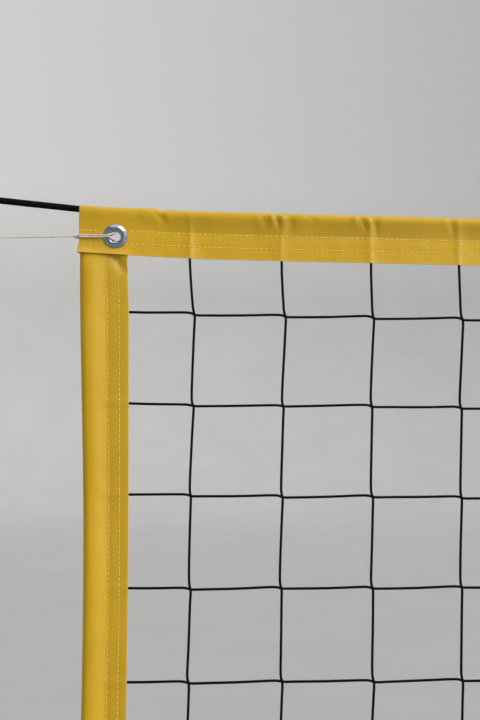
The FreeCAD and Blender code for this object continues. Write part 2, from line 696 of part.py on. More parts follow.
def winch_frame():
    """A folded steel channel: its back lies against the tube and its two walls carry the shafts."""
    low = WINCH_BOLTS_Z[0] - 14
    high = WINCH_BOLTS_Z[1] + 12
    back = block(FRAME_BACK, FRAME_BACK + FRAME_WALL, -FRAME_OUTER, FRAME_OUTER, low, high)
    pieces = [back]
    for y0, y1 in ((-FRAME_OUTER, -FRAME_INNER), (FRAME_INNER, FRAME_OUTER)):
        outline = [(FRAME_BACK + 5, low + 5, 5), (DRUM_OUT, PINION_Z, 26), (DRUM_OUT + 12, DRUM_Z, 26)]
        outline.append((FRAME_BACK + 5, high - 5, 5))
        pieces.append(belt_plate_y(outline, y0, y1))
    holes = [bar_y(SHAFT_RADIUS + RUNNING_GAP, DRUM_OUT, z, -50, 50) for z in (DRUM_Z, PINION_Z)]
    holes += [rod(vec(0, 0, z), vec(FRAME_BACK * 2, 0, z), WINCH_BOLT_RADIUS + 0.1) for z in WINCH_BOLTS_Z]
    return joined(pieces).cut(holes)


def winch_bolts():
    bolts = []
    face = FRAME_BACK + FRAME_WALL + 0.05
    for z in WINCH_BOLTS_Z:
        shank = rod(vec(UPPER_RADIUS - TUBE_WALL - 8, 0, z), vec(face + 5, 0, z), WINCH_BOLT_RADIUS)
        head = rod(vec(face, 0, z), vec(face + 5, 0, z), 6.5)
        nut = rod(vec(UPPER_RADIUS - TUBE_WALL - 8, 0, z), vec(UPPER_RADIUS - TUBE_WALL - 1.2, 0, z), 6)
        bolts.append(joined([shank, head, nut]))
    return bolts


def drum():
    bore = SHAFT_RADIUS + 0.05
    end = DRUM_HALF + DRUM_FLANGE
    profile = [(bore, -end), (DRUM_FLANGE_RADIUS, -end), (DRUM_FLANGE_RADIUS, -DRUM_HALF)]
    profile += [(DRUM_CORE_RADIUS, -DRUM_HALF), (DRUM_CORE_RADIUS, DRUM_HALF)]
    profile += [(DRUM_FLANGE_RADIUS, DRUM_HALF), (DRUM_FLANGE_RADIUS, end), (bore, end)]
    return lathe_y(profile, DRUM_OUT, DRUM_Z)


def rope_turns():
    """Rope already wound on the drum, beside the turn that is coming in."""
    pitch = ROPE_DIAMETER + 0.4
    lanes = (pitch, 2 * pitch)
    return [Part.makeTorus(DRUM_ROPE_RADIUS, ROPE_RADIUS, vec(DRUM_OUT, y, DRUM_Z), ALONG_Y) for y in lanes]


def spur_gear(teeth, phase_degrees, x, z, bore):
    """A straight-toothed gear with a bore. phase_degrees turns its first tooth from the X axis."""
    pitch_radius = GEAR_MODULE * teeth / 2
    tooth = 2 * math.pi / teeth
    flank = [
        (pitch_radius - 1.25 * GEAR_MODULE, 0.33),
        (pitch_radius, 0.225),
        (pitch_radius + 0.9 * GEAR_MODULE, 0.11),
    ]
    points = []
    for k in range(teeth):
        middle = math.radians(phase_degrees) + k * tooth
        for radius, half in flank:
            angle = middle - half * tooth
            points.append((x + radius * math.cos(angle), z + radius * math.sin(angle)))
        for radius, half in reversed(flank):
            angle = middle + half * tooth
            points.append((x + radius * math.cos(angle), z + radius * math.sin(angle)))
    blank = polygon_y(points, GEAR_START, GEAR_START + GEAR_WIDTH)
    return blank.cut(bar_y(bore, x, z, GEAR_START - 1, GEAR_START + GEAR_WIDTH + 1))


def drum_gear():
    """The big gear, lightened by five round windows."""
    gear = spur_gear(GEAR_TEETH, 0, DRUM_OUT, DRUM_Z, SHAFT_RADIUS + 0.05)
    windows = []
    for k in range(5):
        angle = 2 * math.pi * k / 5
        x = DRUM_OUT + 25 * math.cos(angle)
        z = DRUM_Z + 25 * math.sin(angle)
        windows.append(bar_y(8, x, z, GEAR_START - 1, GEAR_START + GEAR_WIDTH + 1))
    return gear.cut(windows)


def drum_shaft():
    shaft = bar_y(SHAFT_RADIUS, DRUM_OUT, DRUM_Z, -FRAME_OUTER - 9, GEAR_START + GEAR_WIDTH + 7)
    inner_nut = hexagon_y(24, DRUM_OUT, DRUM_Z, -FRAME_OUTER - 8, -FRAME_OUTER - 0.4)
    outer_nut = hexagon_y(24, DRUM_OUT, DRUM_Z, GEAR_START + GEAR_WIDTH + 0.05, GEAR_START + GEAR_WIDTH + 6)
    return joined([shaft, inner_nut, outer_nut])


def pinion():
    return spur_gear(PINION_TEETH, 180 / PINION_TEETH, DRUM_OUT, PINION_Z, SHAFT_RADIUS + 0.05)


def crank_shaft():
    end = CRANK_START + CRANK_THICKNESS
    shaft = bar_y(SHAFT_RADIUS, DRUM_OUT, PINION_Z, -FRAME_OUTER - 9, end + 8)
    far_nut = hexagon_y(24, DRUM_OUT, PINION_Z, -FRAME_OUTER - 8, -FRAME_OUTER - 0.4)
    crank_nut = hexagon_y(24, DRUM_OUT, PINION_Z, end + 0.05, end + 7)
    return joined([shaft, far_nut, crank_nut])


def brake_disc():
    """A friction disc between the pinion and the crank that holds the load."""
    outline = [(SHAFT_RADIUS + 0.05, BRAKE_START - 1.9), (23, BRAKE_START - 1.9), (23, BRAKE_START + 3)]
    outline += [(14, BRAKE_START + 3), (14, CRANK_START - 0.05), (SHAFT_RADIUS + 0.05, CRANK_START - 0.05)]
    return lathe_y(outline, DRUM_OUT, PINION_Z)


def crank_arm():
    outline = [(DRUM_OUT, CRANK_Z, 12), (DRUM_OUT, PINION_Z, 18)]
    arm = belt_plate_y(outline, CRANK_START, CRANK_START + CRANK_THICKNESS)
    shaft_hole = bar_y(SHAFT_RADIUS + 0.05, DRUM_OUT, PINION_Z, CRANK_START - 1, CRANK_START + CRANK_THICKNESS + 1)
    pin_hole = bar_y(PIN_RADIUS + 0.05, DRUM_OUT, CRANK_Z, CRANK_START - 1, CRANK_START + CRANK_THICKNESS + 1)
    return arm.cut([shaft_hole, pin_hole])


def grip_pin():
    end = GRIP_START + GRIP_LENGTH
    pin = bar_y(PIN_RADIUS, DRUM_OUT, CRANK_Z, CRANK_START - 3, end + 3)
    inner_head = bar_y(8, DRUM_OUT, CRANK_Z, CRANK_START - 3, CRANK_START - 0.05)
    outer_head = bar_y(8, DRUM_OUT, CRANK_Z, end + 0.3, end + 3)
    return joined([pin, inner_head, outer_head])


def crank_grip():
    """A turned handle that spins on its pin."""
    bore = PIN_RADIUS + RUNNING_GAP
    end = GRIP_START + GRIP_LENGTH
    outline = [(bore, GRIP_START), (12, GRIP_START), (14.5, GRIP_START + 4), (13, GRIP_START + 30)]
    outline += [(15, GRIP_START + 58), (14.5, end - 6), (11.5, end), (bore, end)]
    return lathe_y(outline, DRUM_OUT, CRANK_Z)


# ---- Assembly ----
def build():
    uprights, rows = netting()
    places = eyelet_places()
    head_tie_x = POST_X + TIE_PIN_IN
    foot_tie_x = POST_X + BRACKET_PIN_IN
    nodes = {
        "head_band": [head_band()],
        "foot_band": [foot_band()],
        "left_side_band": [side_band(LEFT)],
        "right_side_band": [side_band(RIGHT)],
        "side_rods": side_rods(),
        "netting_uprights": uprights,
        "netting_rows": rows,
        "head_rope": head_rope(),
        "foot_rope": [foot_rope()],
        "eyelets": [eyelet(x, z) for x, z in places],
        "eyelet_washers": [washer(x, z) for x, z in places],
        "rope_eye": [rope_eye()],
        "rope_thimble": [thimble()],
        "rope_ferrule": [ferrule()],
        "base_gussets": [stand(rib, side) for side in (LEFT, RIGHT) for rib in gussets()],
        "sleeve_screws": [stand(screw, side) for side in (LEFT, RIGHT) for screw in sleeve_screws()],
        "guide_collars": both(guide_collar()),
        "clamp_bolts": both(clamp_bolt()),
        "slide_bushes": both(slide_bush()),
        "head_caps": both(head_cap()),
        "cap_bolts": [
            stand(cross_bolt(x, CAP_BOLT_Z, CAP_BOLT_RADIUS, 13), side)
            for side in (LEFT, RIGHT)
            for x in (-CAP_BOLT_OUT, CAP_BOLT_OUT)
        ],
        "tie_pins": both(cross_bolt(TIE_PIN_IN, HEAD_TIE_Z, TIE_PIN_RADIUS, 13))
        + both(cross_bolt(BRACKET_PIN_IN, FOOT_TIE_Z, TIE_PIN_RADIUS, 13)),
        "foot_rope_pins": both(cross_bolt(BRACKET_PIN_IN, FOOT_ROPE_Z, PIN_RADIUS, 16)),
        "left_upper_tube": [stand(winch_tube(), LEFT)],
        "right_upper_tube": [stand(upper_tube(), RIGHT)],
        "left_head_cheeks": [stand(p, LEFT) for p in head_cheeks(SHEAVE_OUT, SHEAVE_Z, PIN_RADIUS)],
        "right_head_cheeks": [stand(p, RIGHT) for p in head_cheeks(0, THIMBLE_Z, THIMBLE_PIN_RADIUS)],
        "sheave_axle": [stand(cross_bolt(SHEAVE_OUT, SHEAVE_Z, PIN_RADIUS, 16), LEFT)],
        "thimble_pin": [stand(cross_bolt(0, THIMBLE_Z, THIMBLE_PIN_RADIUS, 18), RIGHT)],
        "sheave": [stand(sheave(), LEFT)],
    }
    for name, side in (("left", LEFT), ("right", RIGHT)):
        nodes[name + "_base_plate"] = [stand(base_plate(), side)]
        nodes[name + "_base_sleeve"] = [stand(base_sleeve(), side)]
        nodes[name + "_lower_tube"] = [stand(lower_tube(), side)]
        nodes[name + "_clamp_ring"] = [stand(clamp_ring(), side)]
        nodes[name + "_clamp_lever"] = [stand(clamp_lever(), side)]
        nodes[name + "_lower_bracket"] = [stand(lower_bracket(), side)]
        nodes[name + "_head_tie_cord"] = [tie_cord(side, HEAD_EYELET_Z, side * head_tie_x, HEAD_TIE_Z)]
        nodes[name + "_foot_tie_cord"] = [tie_cord(side, FOOT_EYELET_Z, side * foot_tie_x, FOOT_TIE_Z)]
    winch = {
        "winch_frame": [winch_frame()],
        "winch_bolts": winch_bolts(),
        "winch_drum": [drum()],
        "drum_rope_turns": rope_turns(),
        "drum_gear": [drum_gear()],
        "drum_shaft": [drum_shaft()],
        "pinion_gear": [pinion()],
        "crank_shaft": [crank_shaft()],
        "brake_disc": [brake_disc()],
        "crank_arm": [crank_arm()],
        "grip_pin": [grip_pin()],
        "crank_grip": [crank_grip()],
    }
    for name, shapes in winch.items():
        nodes[name] = [stand(shape, LEFT) for shape in shapes]
    return nodes


def export(nodes):
    os.makedirs("parts", exist_ok=True)
    for name, shapes in sorted(nodes.items()):
        solids = [solid for shape in shapes for solid in shape.Solids]
        for solid in solids:
            if not solid.isValid() or solid.Volume <= 0:
                raise ValueError(name + " has a solid that isn't valid")
        Part.makeCompound(solids).exportStep("parts/" + name + ".step")
    print(len(nodes), "nodes;", "head rope at the sheave", round(SHEAVE_Z + SHEAVE_ROPE_RADIUS, 1))


export(build())
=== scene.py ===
"""Looks of the volleyball net on posts: cloth bands, stitching, twine, ropes, eyelets, metal and plastic."""

import math

import bpy
import numpy as np
from mathutils import Matrix, Vector


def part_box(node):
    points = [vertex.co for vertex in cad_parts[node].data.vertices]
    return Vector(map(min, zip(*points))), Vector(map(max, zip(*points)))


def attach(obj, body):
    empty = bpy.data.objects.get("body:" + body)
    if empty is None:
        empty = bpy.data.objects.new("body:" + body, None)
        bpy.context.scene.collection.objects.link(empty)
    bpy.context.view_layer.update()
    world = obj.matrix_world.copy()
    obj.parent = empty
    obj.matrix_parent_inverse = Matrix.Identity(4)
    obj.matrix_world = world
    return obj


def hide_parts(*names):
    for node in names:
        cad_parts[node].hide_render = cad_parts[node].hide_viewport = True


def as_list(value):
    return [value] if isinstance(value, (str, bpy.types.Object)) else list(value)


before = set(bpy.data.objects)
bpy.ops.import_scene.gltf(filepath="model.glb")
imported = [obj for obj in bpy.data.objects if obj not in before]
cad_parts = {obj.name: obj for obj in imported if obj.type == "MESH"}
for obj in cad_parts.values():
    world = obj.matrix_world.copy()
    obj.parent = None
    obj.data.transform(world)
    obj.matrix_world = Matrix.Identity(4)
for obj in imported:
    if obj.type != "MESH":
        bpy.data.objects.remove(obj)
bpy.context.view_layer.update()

# Lengths are in millimetres here, as in the CAD model, and are turned into metres where a mesh is made.
MM = 0.001
TURN = 2 * math.pi

# ---- Sizes repeated from the CAD model ----
NET_END = 4250.0
NET_LENGTH = 2 * NET_END
TOP_EDGE = 2430.0
BOTTOM_EDGE = 1430.0
BAND_WIDTH = 51.0
SIDE_TUCK = 9.0
CLOTH = 0.8
COLUMN_COUNT = 87
ROW_COUNT = 10
SIDE_INSET = 20.5
HEAD_INSET = 15.5
FOOT_INSET = 20.0
COLUMN_PITCH = (NET_LENGTH - 2 * SIDE_INSET) / COLUMN_COUNT
ROW_PITCH = (TOP_EDGE - BOTTOM_EDGE - HEAD_INSET - FOOT_INSET) / ROW_COUNT
ROPE_RADIUS = 3.0
ROPE_DEPTH = 4.4
EYELET_FROM_END = 38.0
EYELET_FROM_EDGE = 30.5
POST_X = 4750.0
DRUM = (-POST_X - 82.0, 1700.0)
DRUM_ROPE_RADIUS = 33.0
SHEAVE_ROPE_RADIUS = 30.0
EYE_RADIUS = 12.7

# ---- How the hung net differs from its straight design ----
NET_HEIGHT = TOP_EDGE - BOTTOM_EDGE
CORNER_LIFT = 3.6
LIFT_REACH = 68.0
LIFT_DEPTH = 220.0
CORNER_PULL = 4.7
PULL_REACH = (60.0, 260.0)
PULL_DEPTH = 230.0
PULL_FADE = 110
CORNER_DROOP = 3.0
DROOP_REACH = 38.0
DROOP_LEVEL = 32
DROOP_HEIGHT = 13
SIDE_BOW = 4.6
BOW_REACH = 80.0


def settle(points):
    """The cords pull the top corners up and out and drag the cloth round their eyelets down a little, and
    the side bands bow inwards."""
    moved = np.array(points, float)
    along = np.clip(NET_END - np.abs(moved[..., 0]), -20, None)
    depth = np.clip(TOP_EDGE - moved[..., 2], 0, NET_HEIGHT)
    lift = CORNER_LIFT * np.exp(-along / LIFT_REACH) * np.exp(-((depth / LIFT_DEPTH) ** 2))
    near, far = PULL_REACH
    reach = near + (far - near) * (1 - step_up(depth, BAND_WIDTH - 1, PULL_FADE))
    pull = CORNER_PULL * np.exp(-((depth / PULL_DEPTH) ** 2)) * np.exp(-along / reach)
    bow = SIDE_BOW * (1 - np.cos(TURN * depth / NET_HEIGHT)) / 2 * np.exp(-((along / BOW_REACH) ** 2))
    droop = CORNER_DROOP * np.exp(-((along / DROOP_REACH) ** 2)) * hill(depth, DROOP_LEVEL, DROOP_HEIGHT)
    moved[..., 2] += lift - droop
    moved[..., 0] += np.sign(moved[..., 0]) * (pull - bow)
    return moved


def step_up(value, start, end):
    """Goes smoothly from 0 at start to 1 at end."""
    t = np.clip((value - start) / (end - start), 0, 1)
    return t * t * (3 - 2 * t)


def hill(value, middle, width):
    """A smooth hump, 1 at its middle."""
    return np.exp(-(((value - middle) / width) ** 2))


# ---- Materials ----
class Look:
    """A node material with its Principled shader, and the few nodes that the looks here are made of."""

    def __init__(self, name, **values):
        self.material = bpy.data.materials.new(name)
        self.material.use_nodes = True
        self.tree = self.material.node_tree
        self.shader = self.tree.nodes["Principled BSDF"]
        for socket, value in values.items():
            self.shader.inputs[socket.replace("_", " ")].default_value = value
        self.coordinates = self.tree.nodes.new("ShaderNodeTexCoord")

    def node(self, kind, **values):
        made = self.tree.nodes.new(kind)
        for key, value in values.items():
            setattr(made, key, value)
        return made

    def link(self, source, target):
        self.tree.links.new(source, target)

    def texture(self, kind, scale, stretch=(1, 1, 1), source="Object", **values):
        mapping = self.node("ShaderNodeMapping")
        mapping.inputs["Scale"].default_value = stretch
        self.link(self.coordinates.outputs[source], mapping.inputs["Vector"])
        made = self.node(kind, **values)
        made.inputs["Scale"].default_value = scale
        self.link(mapping.outputs["Vector"], made.inputs["Vector"])
        return made

    def noise(self, scale, detail, stretch=(1, 1, 1)):
        made = self.texture("ShaderNodeTexNoise", scale, stretch)
        made.inputs["Detail"].default_value = detail
        return made.outputs["Fac"]

    def cells(self, scale):
        return self.texture("ShaderNodeTexVoronoi", scale).outputs["Distance"]

    def strands(self):
        """One wave to each unit of the mesh's UV map."""
        return self.texture("ShaderNodeTexWave", 1.0, source="UV", bands_direction="X").outputs["Fac"]

    def spread(self, fac, low=0, high=1, start=0.3, end=0.7):
        made = self.node("ShaderNodeMapRange")
        for socket, value in (("From Min", start), ("From Max", end), ("To Min", low), ("To Max", high)):
            made.inputs[socket].default_value = value
        self.link(fac, made.inputs["Value"])
        return made.outputs["Result"]

    def patches(self, scale, detail, start=0.3, end=0.7):
        """Noise with more contrast, in the range 0 to 1."""
        return self.spread(self.noise(scale, detail), 0, 1, start, end)

    def blend(self, fac, first, second):
        made = self.node("ShaderNodeMix", data_type="RGBA")
        self.link(fac, made.inputs["Factor"])
        for socket, value in (("A", first), ("B", second)):
            target = [s for s in made.inputs if s.name == socket and s.type == "RGBA"][0]
            if isinstance(value, tuple):
                target.default_value = (*value, 1)
            else:
                self.link(value, target)
        return [s for s in made.outputs if s.type == "RGBA"][0]

    def attribute(self, name):
        return self.node("ShaderNodeAttribute", attribute_name=name).outputs["Fac"]

    def colour(self, source):
        self.link(source, self.shader.inputs["Base Color"])

    def roughness(self, pattern, low, high):
        self.link(self.spread(pattern, low, high), self.shader.inputs["Roughness"])

    def bump(self, *layers, rounding=0):
        """Each layer is a height and its depth in millimetres. rounding is the radius of rounded edges."""
        normal = None
        if rounding:
            bevel = self.node("ShaderNodeBevel", samples=4)
            bevel.inputs["Radius"].default_value = rounding * MM
            normal = bevel.outputs["Normal"]
        for height, depth in layers:
            made = self.node("ShaderNodeBump")
            made.inputs["Strength"].default_value = 1.0
            made.inputs["Distance"].default_value = depth * MM
            self.link(height, made.inputs["Height"])
            if normal is not None:
                self.link(normal, made.inputs["Normal"])
            normal = made.outputs["Normal"]
        self.link(normal, self.shader.inputs["Normal"])


def vinyl_look():
    """Coated cloth, with shade painted darker in the rope's tunnel and on the side bands, and paler at its
    cut edges.
    """
    look = Look("vinyl", Specular_IOR_Level=0.22)
    streaks = look.spread(look.noise(60, 3, (1, 1, 0.35)), 0, 1, 0.35, 0.75)
    even = look.blend(look.patches(9, 4), (0.60, 0.352, 0.007), (0.655, 0.392, 0.012))
    worn = look.blend(look.spread(streaks, 0, 0.35, 0, 1), even, (0.70, 0.44, 0.03))
    # Painted shade: the mask darkens the colour in the rope's tunnel and at the side bands' rod rims and seam
    # strips.
    pocket = look.blend(look.attribute("painted_shade"), worn, (0.435, 0.262, 0.004))
    look.colour(look.blend(look.attribute("edge"), pocket, (0.82, 0.58, 0.14)))
    look.roughness(look.noise(220, 4), 0.40, 0.56)
    look.bump((look.noise(34, 4), 0.55), (look.cells(900), 0.035), (look.noise(2400, 2), 0.02))
    return look.material


def thread_look():
    look = Look("thread", Specular_IOR_Level=0.3)
    look.colour(look.blend(look.patches(700, 2), (0.80, 0.585, 0.13), (0.90, 0.70, 0.21)))
    look.roughness(look.noise(900, 2), 0.5, 0.7)
    look.bump((look.noise(5200, 2), 0.05))
    return look.material


def twine_look(name, dark, pale, gloss, sheen):
    """Twine, rope or cord. Its mesh's UV map runs round it and along it, one unit to a strand."""
    look = Look(name, Specular_IOR_Level=gloss, Sheen_Weight=sheen, Sheen_Roughness=0.45)
    look.colour(look.blend(look.patches(160, 4), dark, pale))
    look.roughness(look.noise(420, 3), 0.55, 0.8)
    look.bump((look.strands(), 0.10), (look.noise(3800, 2), 0.05))
    return look.material


def bright_metal_look(name, colour, low, high, smudge):
    look = Look(name, Metallic=1.0)
    look.colour(look.blend(look.patches(smudge, 5), colour, tuple(c * 0.80 for c in colour)))
    look.roughness(look.noise(smudge * 2.5, 4), low, high)
    look.bump((look.noise(900, 3), 0.012))
    return look.material


def tube_look():
    """Anodised aluminium, drawn along its length."""
    look = Look("anodised_tube", Metallic=1.0, Anisotropic=0.35)
    drawn = look.noise(420, 3, (1, 1, 0.012))
    stain = look.patches(11, 5, 0.35, 0.7)
    look.colour(look.blend(stain, (0.48, 0.485, 0.495), (0.40, 0.405, 0.42)))
    look.roughness(drawn, 0.27, 0.42)
    look.bump((drawn, 0.02), (look.noise(45, 4), 0.03))
    return look.material


def powder_look(name, colour):
    """Textured powder coat with a little dust."""
    look = Look(name, Specular_IOR_Level=0.5)
    dust = look.patches(14, 5, 0.45, 0.8)
    look.colour(look.blend(dust, colour, tuple(c * 1.5 + 0.012 for c in colour)))
    look.roughness(look.noise(60, 4), 0.36, 0.52)
    look.bump((look.noise(520, 2), 0.07), (look.noise(55, 3), 0.06), rounding=0.8)
    return look.material


def zinc_look():
    """Zinc-plated steel with its faint crystal pattern and a little yellowing."""
    look = Look("zinc_plate", Metallic=1.0)
    spangle = look.spread(look.cells(160), 0, 1, 0.0, 0.8)
    tone = look.blend(spangle, (0.46, 0.47, 0.48), (0.36, 0.37, 0.38))
    look.colour(look.blend(look.spread(look.noise(30, 4), 0, 0.5), tone, (0.42, 0.385, 0.305)))
    look.roughness(look.noise(240, 4), 0.26, 0.46)
    look.bump((look.noise(700, 3), 0.03), rounding=0.5)
    return look.material


def moulded_look(name, colour, low, high, grain):
    """Moulded plastic with a grain and scuffs."""
    look = Look(name, Specular_IOR_Level=0.5)
    scuffs = look.patches(90, 5, 0.5, 0.85)
    look.colour(look.blend(scuffs, colour, tuple(c * 1.9 + 0.01 for c in colour)))
    look.roughness(look.noise(300, 3), low, high)
    look.bump((look.cells(grain), 0.05), (look.noise(70, 3), 0.04))
    return look.material


VINYL = vinyl_look()
THREAD = thread_look()
TWINE = twine_look("black_twine", (0.0016, 0.0016, 0.0019), (0.0035, 0.0035, 0.0040), 0.05, 0.0)
BLACK_ROPE = twine_look("black_rope", (0.0016, 0.0016, 0.0020), (0.0036, 0.0036, 0.0043), 0.05, 0.0)
WHITE_CORD = twine_look("white_cord", (0.58, 0.50, 0.40), (0.78, 0.74, 0.66), 0.3, 0.1)
EYELET_METAL = bright_metal_look("eyelet_plate", (0.33, 0.375, 0.43), 0.14, 0.24, 170)
STEEL = bright_metal_look("turned_steel", (0.44, 0.44, 0.45), 0.22, 0.38, 60)
ALUMINIUM = bright_metal_look("cast_aluminium", (0.50, 0.51, 0.52), 0.34, 0.5, 35)
TUBE = tube_look()
GRAPHITE = powder_look("graphite_powder_coat", (0.028, 0.030, 0.034))
ZINC = zinc_look()
NYLON = moulded_look("black_nylon", (0.014, 0.014, 0.016), 0.42, 0.58, 800)
GRIP = moulded_look("grip_plastic", (0.010, 0.010, 0.012), 0.30, 0.44, 500)
ROD_LOOK = moulded_look("glass_fibre_rod", (0.55, 0.52, 0.42), 0.35, 0.5, 600)


# ---- Mesh making ----
def grid_faces(rows, columns, closed=False, looped=False):
    """Faces of a grid of points, row by row. closed joins each row's last point to its first, and looped
    joins the last row to the first."""
    down, across = rows if looped else rows - 1, columns if closed else columns - 1
    r, c = np.meshgrid(np.arange(down), np.arange(across), indexing="ij")
    here, beyond, step = r * columns, (r + 1) % rows * columns, (c + 1) % columns
    return np.stack([here + c, here + step, beyond + step, beyond + c], -1).reshape(-1, 4)


def placed(name, data):
    """A new object in the scene."""
    made = bpy.data.objects.new(name, data)
    bpy.context.scene.collection.objects.link(made)
    return made


def smooth_mesh(name, points, polygons, material):
    """A new mesh object with smooth shading. points are in metres."""
    data = bpy.data.meshes.new(name)
    data.from_pydata(points, [], polygons)
    data.polygons.foreach_set("use_smooth", [True] * len(data.polygons))
    data.materials.append(material)
    return placed(name, data)


def make(name, points, faces, material, body, replaces=(), uv=None, attributes=None, caps=()):
    """A smooth mesh piece that rides on a CAD body. points are in millimetres."""
    metres = np.asarray(points).reshape(-1, 3) * MM
    piece = smooth_mesh(name, metres.tolist(), np.asarray(faces).tolist() + list(caps), material)
    data = piece.data
    if uv is not None:
        layer = data.uv_layers.new(name="UVMap")
        corner = np.zeros(len(data.loops), np.int32)
        data.loops.foreach_get("vertex_index", corner)
        layer.data.foreach_set("uv", np.asarray(uv, np.float32).reshape(-1, 2)[corner].ravel())
    for key, values in (attributes or {}).items():
        layer = data.attributes.new(key, "FLOAT", "POINT")
        layer.data.foreach_set("value", np.asarray(values, np.float32).ravel())
    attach(piece, body)
    if replaces:
        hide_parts(*replaces)
    return piece


def facing_out(points, faces):
    """The same faces, turned round if they face into the shape."""
    corners = (points - points.mean(0))[np.asarray(faces)]
    first = np.einsum("ij,ij->i", corners[:, 0], np.cross(corners[:, 1], corners[:, 2]))
    second = np.einsum("ij,ij->i", corners[:, 0], np.cross(corners[:, 2], corners[:, 3]))
    return faces if (first + second).sum() > 0 else np.asarray(faces)[:, ::-1]


class Bundle:
    """Several closed tubes or grids gathered into one mesh."""

    def __init__(self):
        self.points, self.faces, self.caps, self.uv, self.count = [], [], [], [], 0

    def add(self, points, faces, uv=None, caps=()):
        points = np.asarray(points, float).reshape(-1, 3)
        self.points.append(points)
        self.faces.append(np.asarray(faces) + self.count)
        self.caps += [[i + self.count for i in cap] for cap in caps]
        self.uv.append(np.zeros((len(points), 2)) if uv is None else np.asarray(uv, float).reshape(-1, 2))
        self.count += len(points)

    def make(self, name, material, body, slot, replaces=()):
        points, faces, uv = (np.concatenate(kind) for kind in (self.points, self.faces, self.uv))
        return make(name, points, faces, material, body, replaces, uv=uv, caps=self.caps)


def frames(path, closed=False):
    """Tangent and two side directions along a path, turned as little as they can be."""
    ahead = np.gradient(path, axis=0)
    if closed:
        ahead = np.roll(path, -1, 0) - np.roll(path, 1, 0)
    ahead /= np.linalg.norm(ahead, axis=1)[:, None]
    start = np.cross(ahead[0], (0, 1, 0))
    if np.linalg.norm(start) < 0.3:
        start = np.cross(ahead[0], (0, 0, 1))
    side = np.zeros_like(path)
    side[0] = start / np.linalg.norm(start)
    for i in range(1, len(path)):
        turned = side[i - 1] - ahead[i] * np.dot(side[i - 1], ahead[i])
        side[i] = turned / np.linalg.norm(turned)
    return ahead, side, np.cross(ahead, side)


def tube(bundle, path, radius, sides=8, relief=None, lay=6.0, closed=False):
    """A round tube along a path, with one radius or one for each point. relief(angle, distance) scales it,
    and lay is the length of one twist."""
    path = np.asarray(path, float)
    _, side, other = frames(path, closed)
    steps = np.linalg.norm(np.diff(path, axis=0), axis=1)
    distance = np.concatenate([[0], np.cumsum(steps)])
    angle = np.arange(sides) * TURN / sides
    size = np.ones((len(path), sides)) * np.reshape(radius, (-1, 1))
    if relief is not None:
        size = size * relief(angle[None, :], distance[:, None])
    ring = np.cos(angle)[None, :, None] * side[:, None, :] + np.sin(angle)[None, :, None] * other[:, None, :]
    points = path[:, None, :] + size[..., None] * ring
    faces = grid_faces(len(path), sides, True, closed)
    ends = [list(range(sides))[::-1], [(len(path) - 1) * sides + k for k in range(sides)]]
    u = np.broadcast_to((angle / TURN * 3)[None, :], size.shape) + distance[:, None] / lay
    uv = np.stack([u, np.broadcast_to(distance[:, None] / lay, size.shape)], -1)
    bundle.add(points, faces, uv, [] if closed else ends)


def even(points, step):
    """The same polyline with points at equal steps."""
    points = np.asarray(points, float)
    run = np.concatenate([[0], np.cumsum(np.linalg.norm(np.diff(points, axis=0), axis=1))])
    at = np.linspace(0, run[-1], max(2, int(run[-1] / step) + 1))
    return np.stack([np.interp(at, run, points[:, k]) for k in range(3)], 1)


def smooth(points, step):
    """A curve that passes smoothly through a few points."""
    points = np.asarray(points, float)
    held = np.concatenate([2 * points[:1] - points[1:2], points, 2 * points[-1:] - points[-2:-1]])
    t = np.linspace(0, 1, 14, endpoint=False)[:, None]
    curve = []
    for a, b, c, d in zip(held, held[1:], held[2:], held[3:]):
        bend = (2 * a - 5 * b + 4 * c - d) * t**2 + (3 * b - a - 3 * c + d) * t**3
        curve.append(0.5 * (2 * b + (c - a) * t + bend))
    curve.append(held[-2:-1])
    return even(np.concatenate(curve), step)


ROPE_LAY = 7.0
ROPE_PICKS = 8
ROPE_RELIEF = 0.10
CORD_LAY = 2.6
CORD_STRANDS = 3
CORD_RELIEF = 0.16
CORD_RADIUS = 0.85


def braid(angle, distance):
    """Relief of the braided rope: a lattice of rounded diamonds."""
    turn, run = angle * ROPE_PICKS / TURN, distance / ROPE_LAY
    bumps = np.abs(np.sin(math.pi * (turn - run)) * np.sin(math.pi * (turn + run)))
    return 1 - ROPE_RELIEF + ROPE_RELIEF * np.sqrt(bumps) * 1.5


def twist(angle, distance):
    """Relief of the laid cord: round strands that run round it."""
    strand = np.abs(np.cos((CORD_STRANDS * angle - TURN * distance / CORD_LAY) / 2))
    return 1 - CORD_RELIEF + CORD_RELIEF * strand * 1.6


def rope(bundle, path, radius, closed=False):
    tube(bundle, path, radius, 18, braid, ROPE_LAY, closed)


def cord(bundle, path):
    tube(bundle, path, CORD_RADIUS, 10, twist, CORD_LAY)


def ripple(along, across, waves, seed):
    """Smooth low waves in two directions, in the range -1 to 1, the same each run."""
    draw = np.random.default_rng(seed)
    total = 0
    for _ in range(6):
        length = waves * draw.uniform(0.6, 1.6)
        lean = draw.uniform(-0.8, 0.8)
        total = total + np.sin(TURN * (along + lean * across) / length + draw.uniform(0, TURN))
    return total / 6


# ---- Bands ----
STITCH_PITCH = 5.5
ROPE_COVER = 1.3


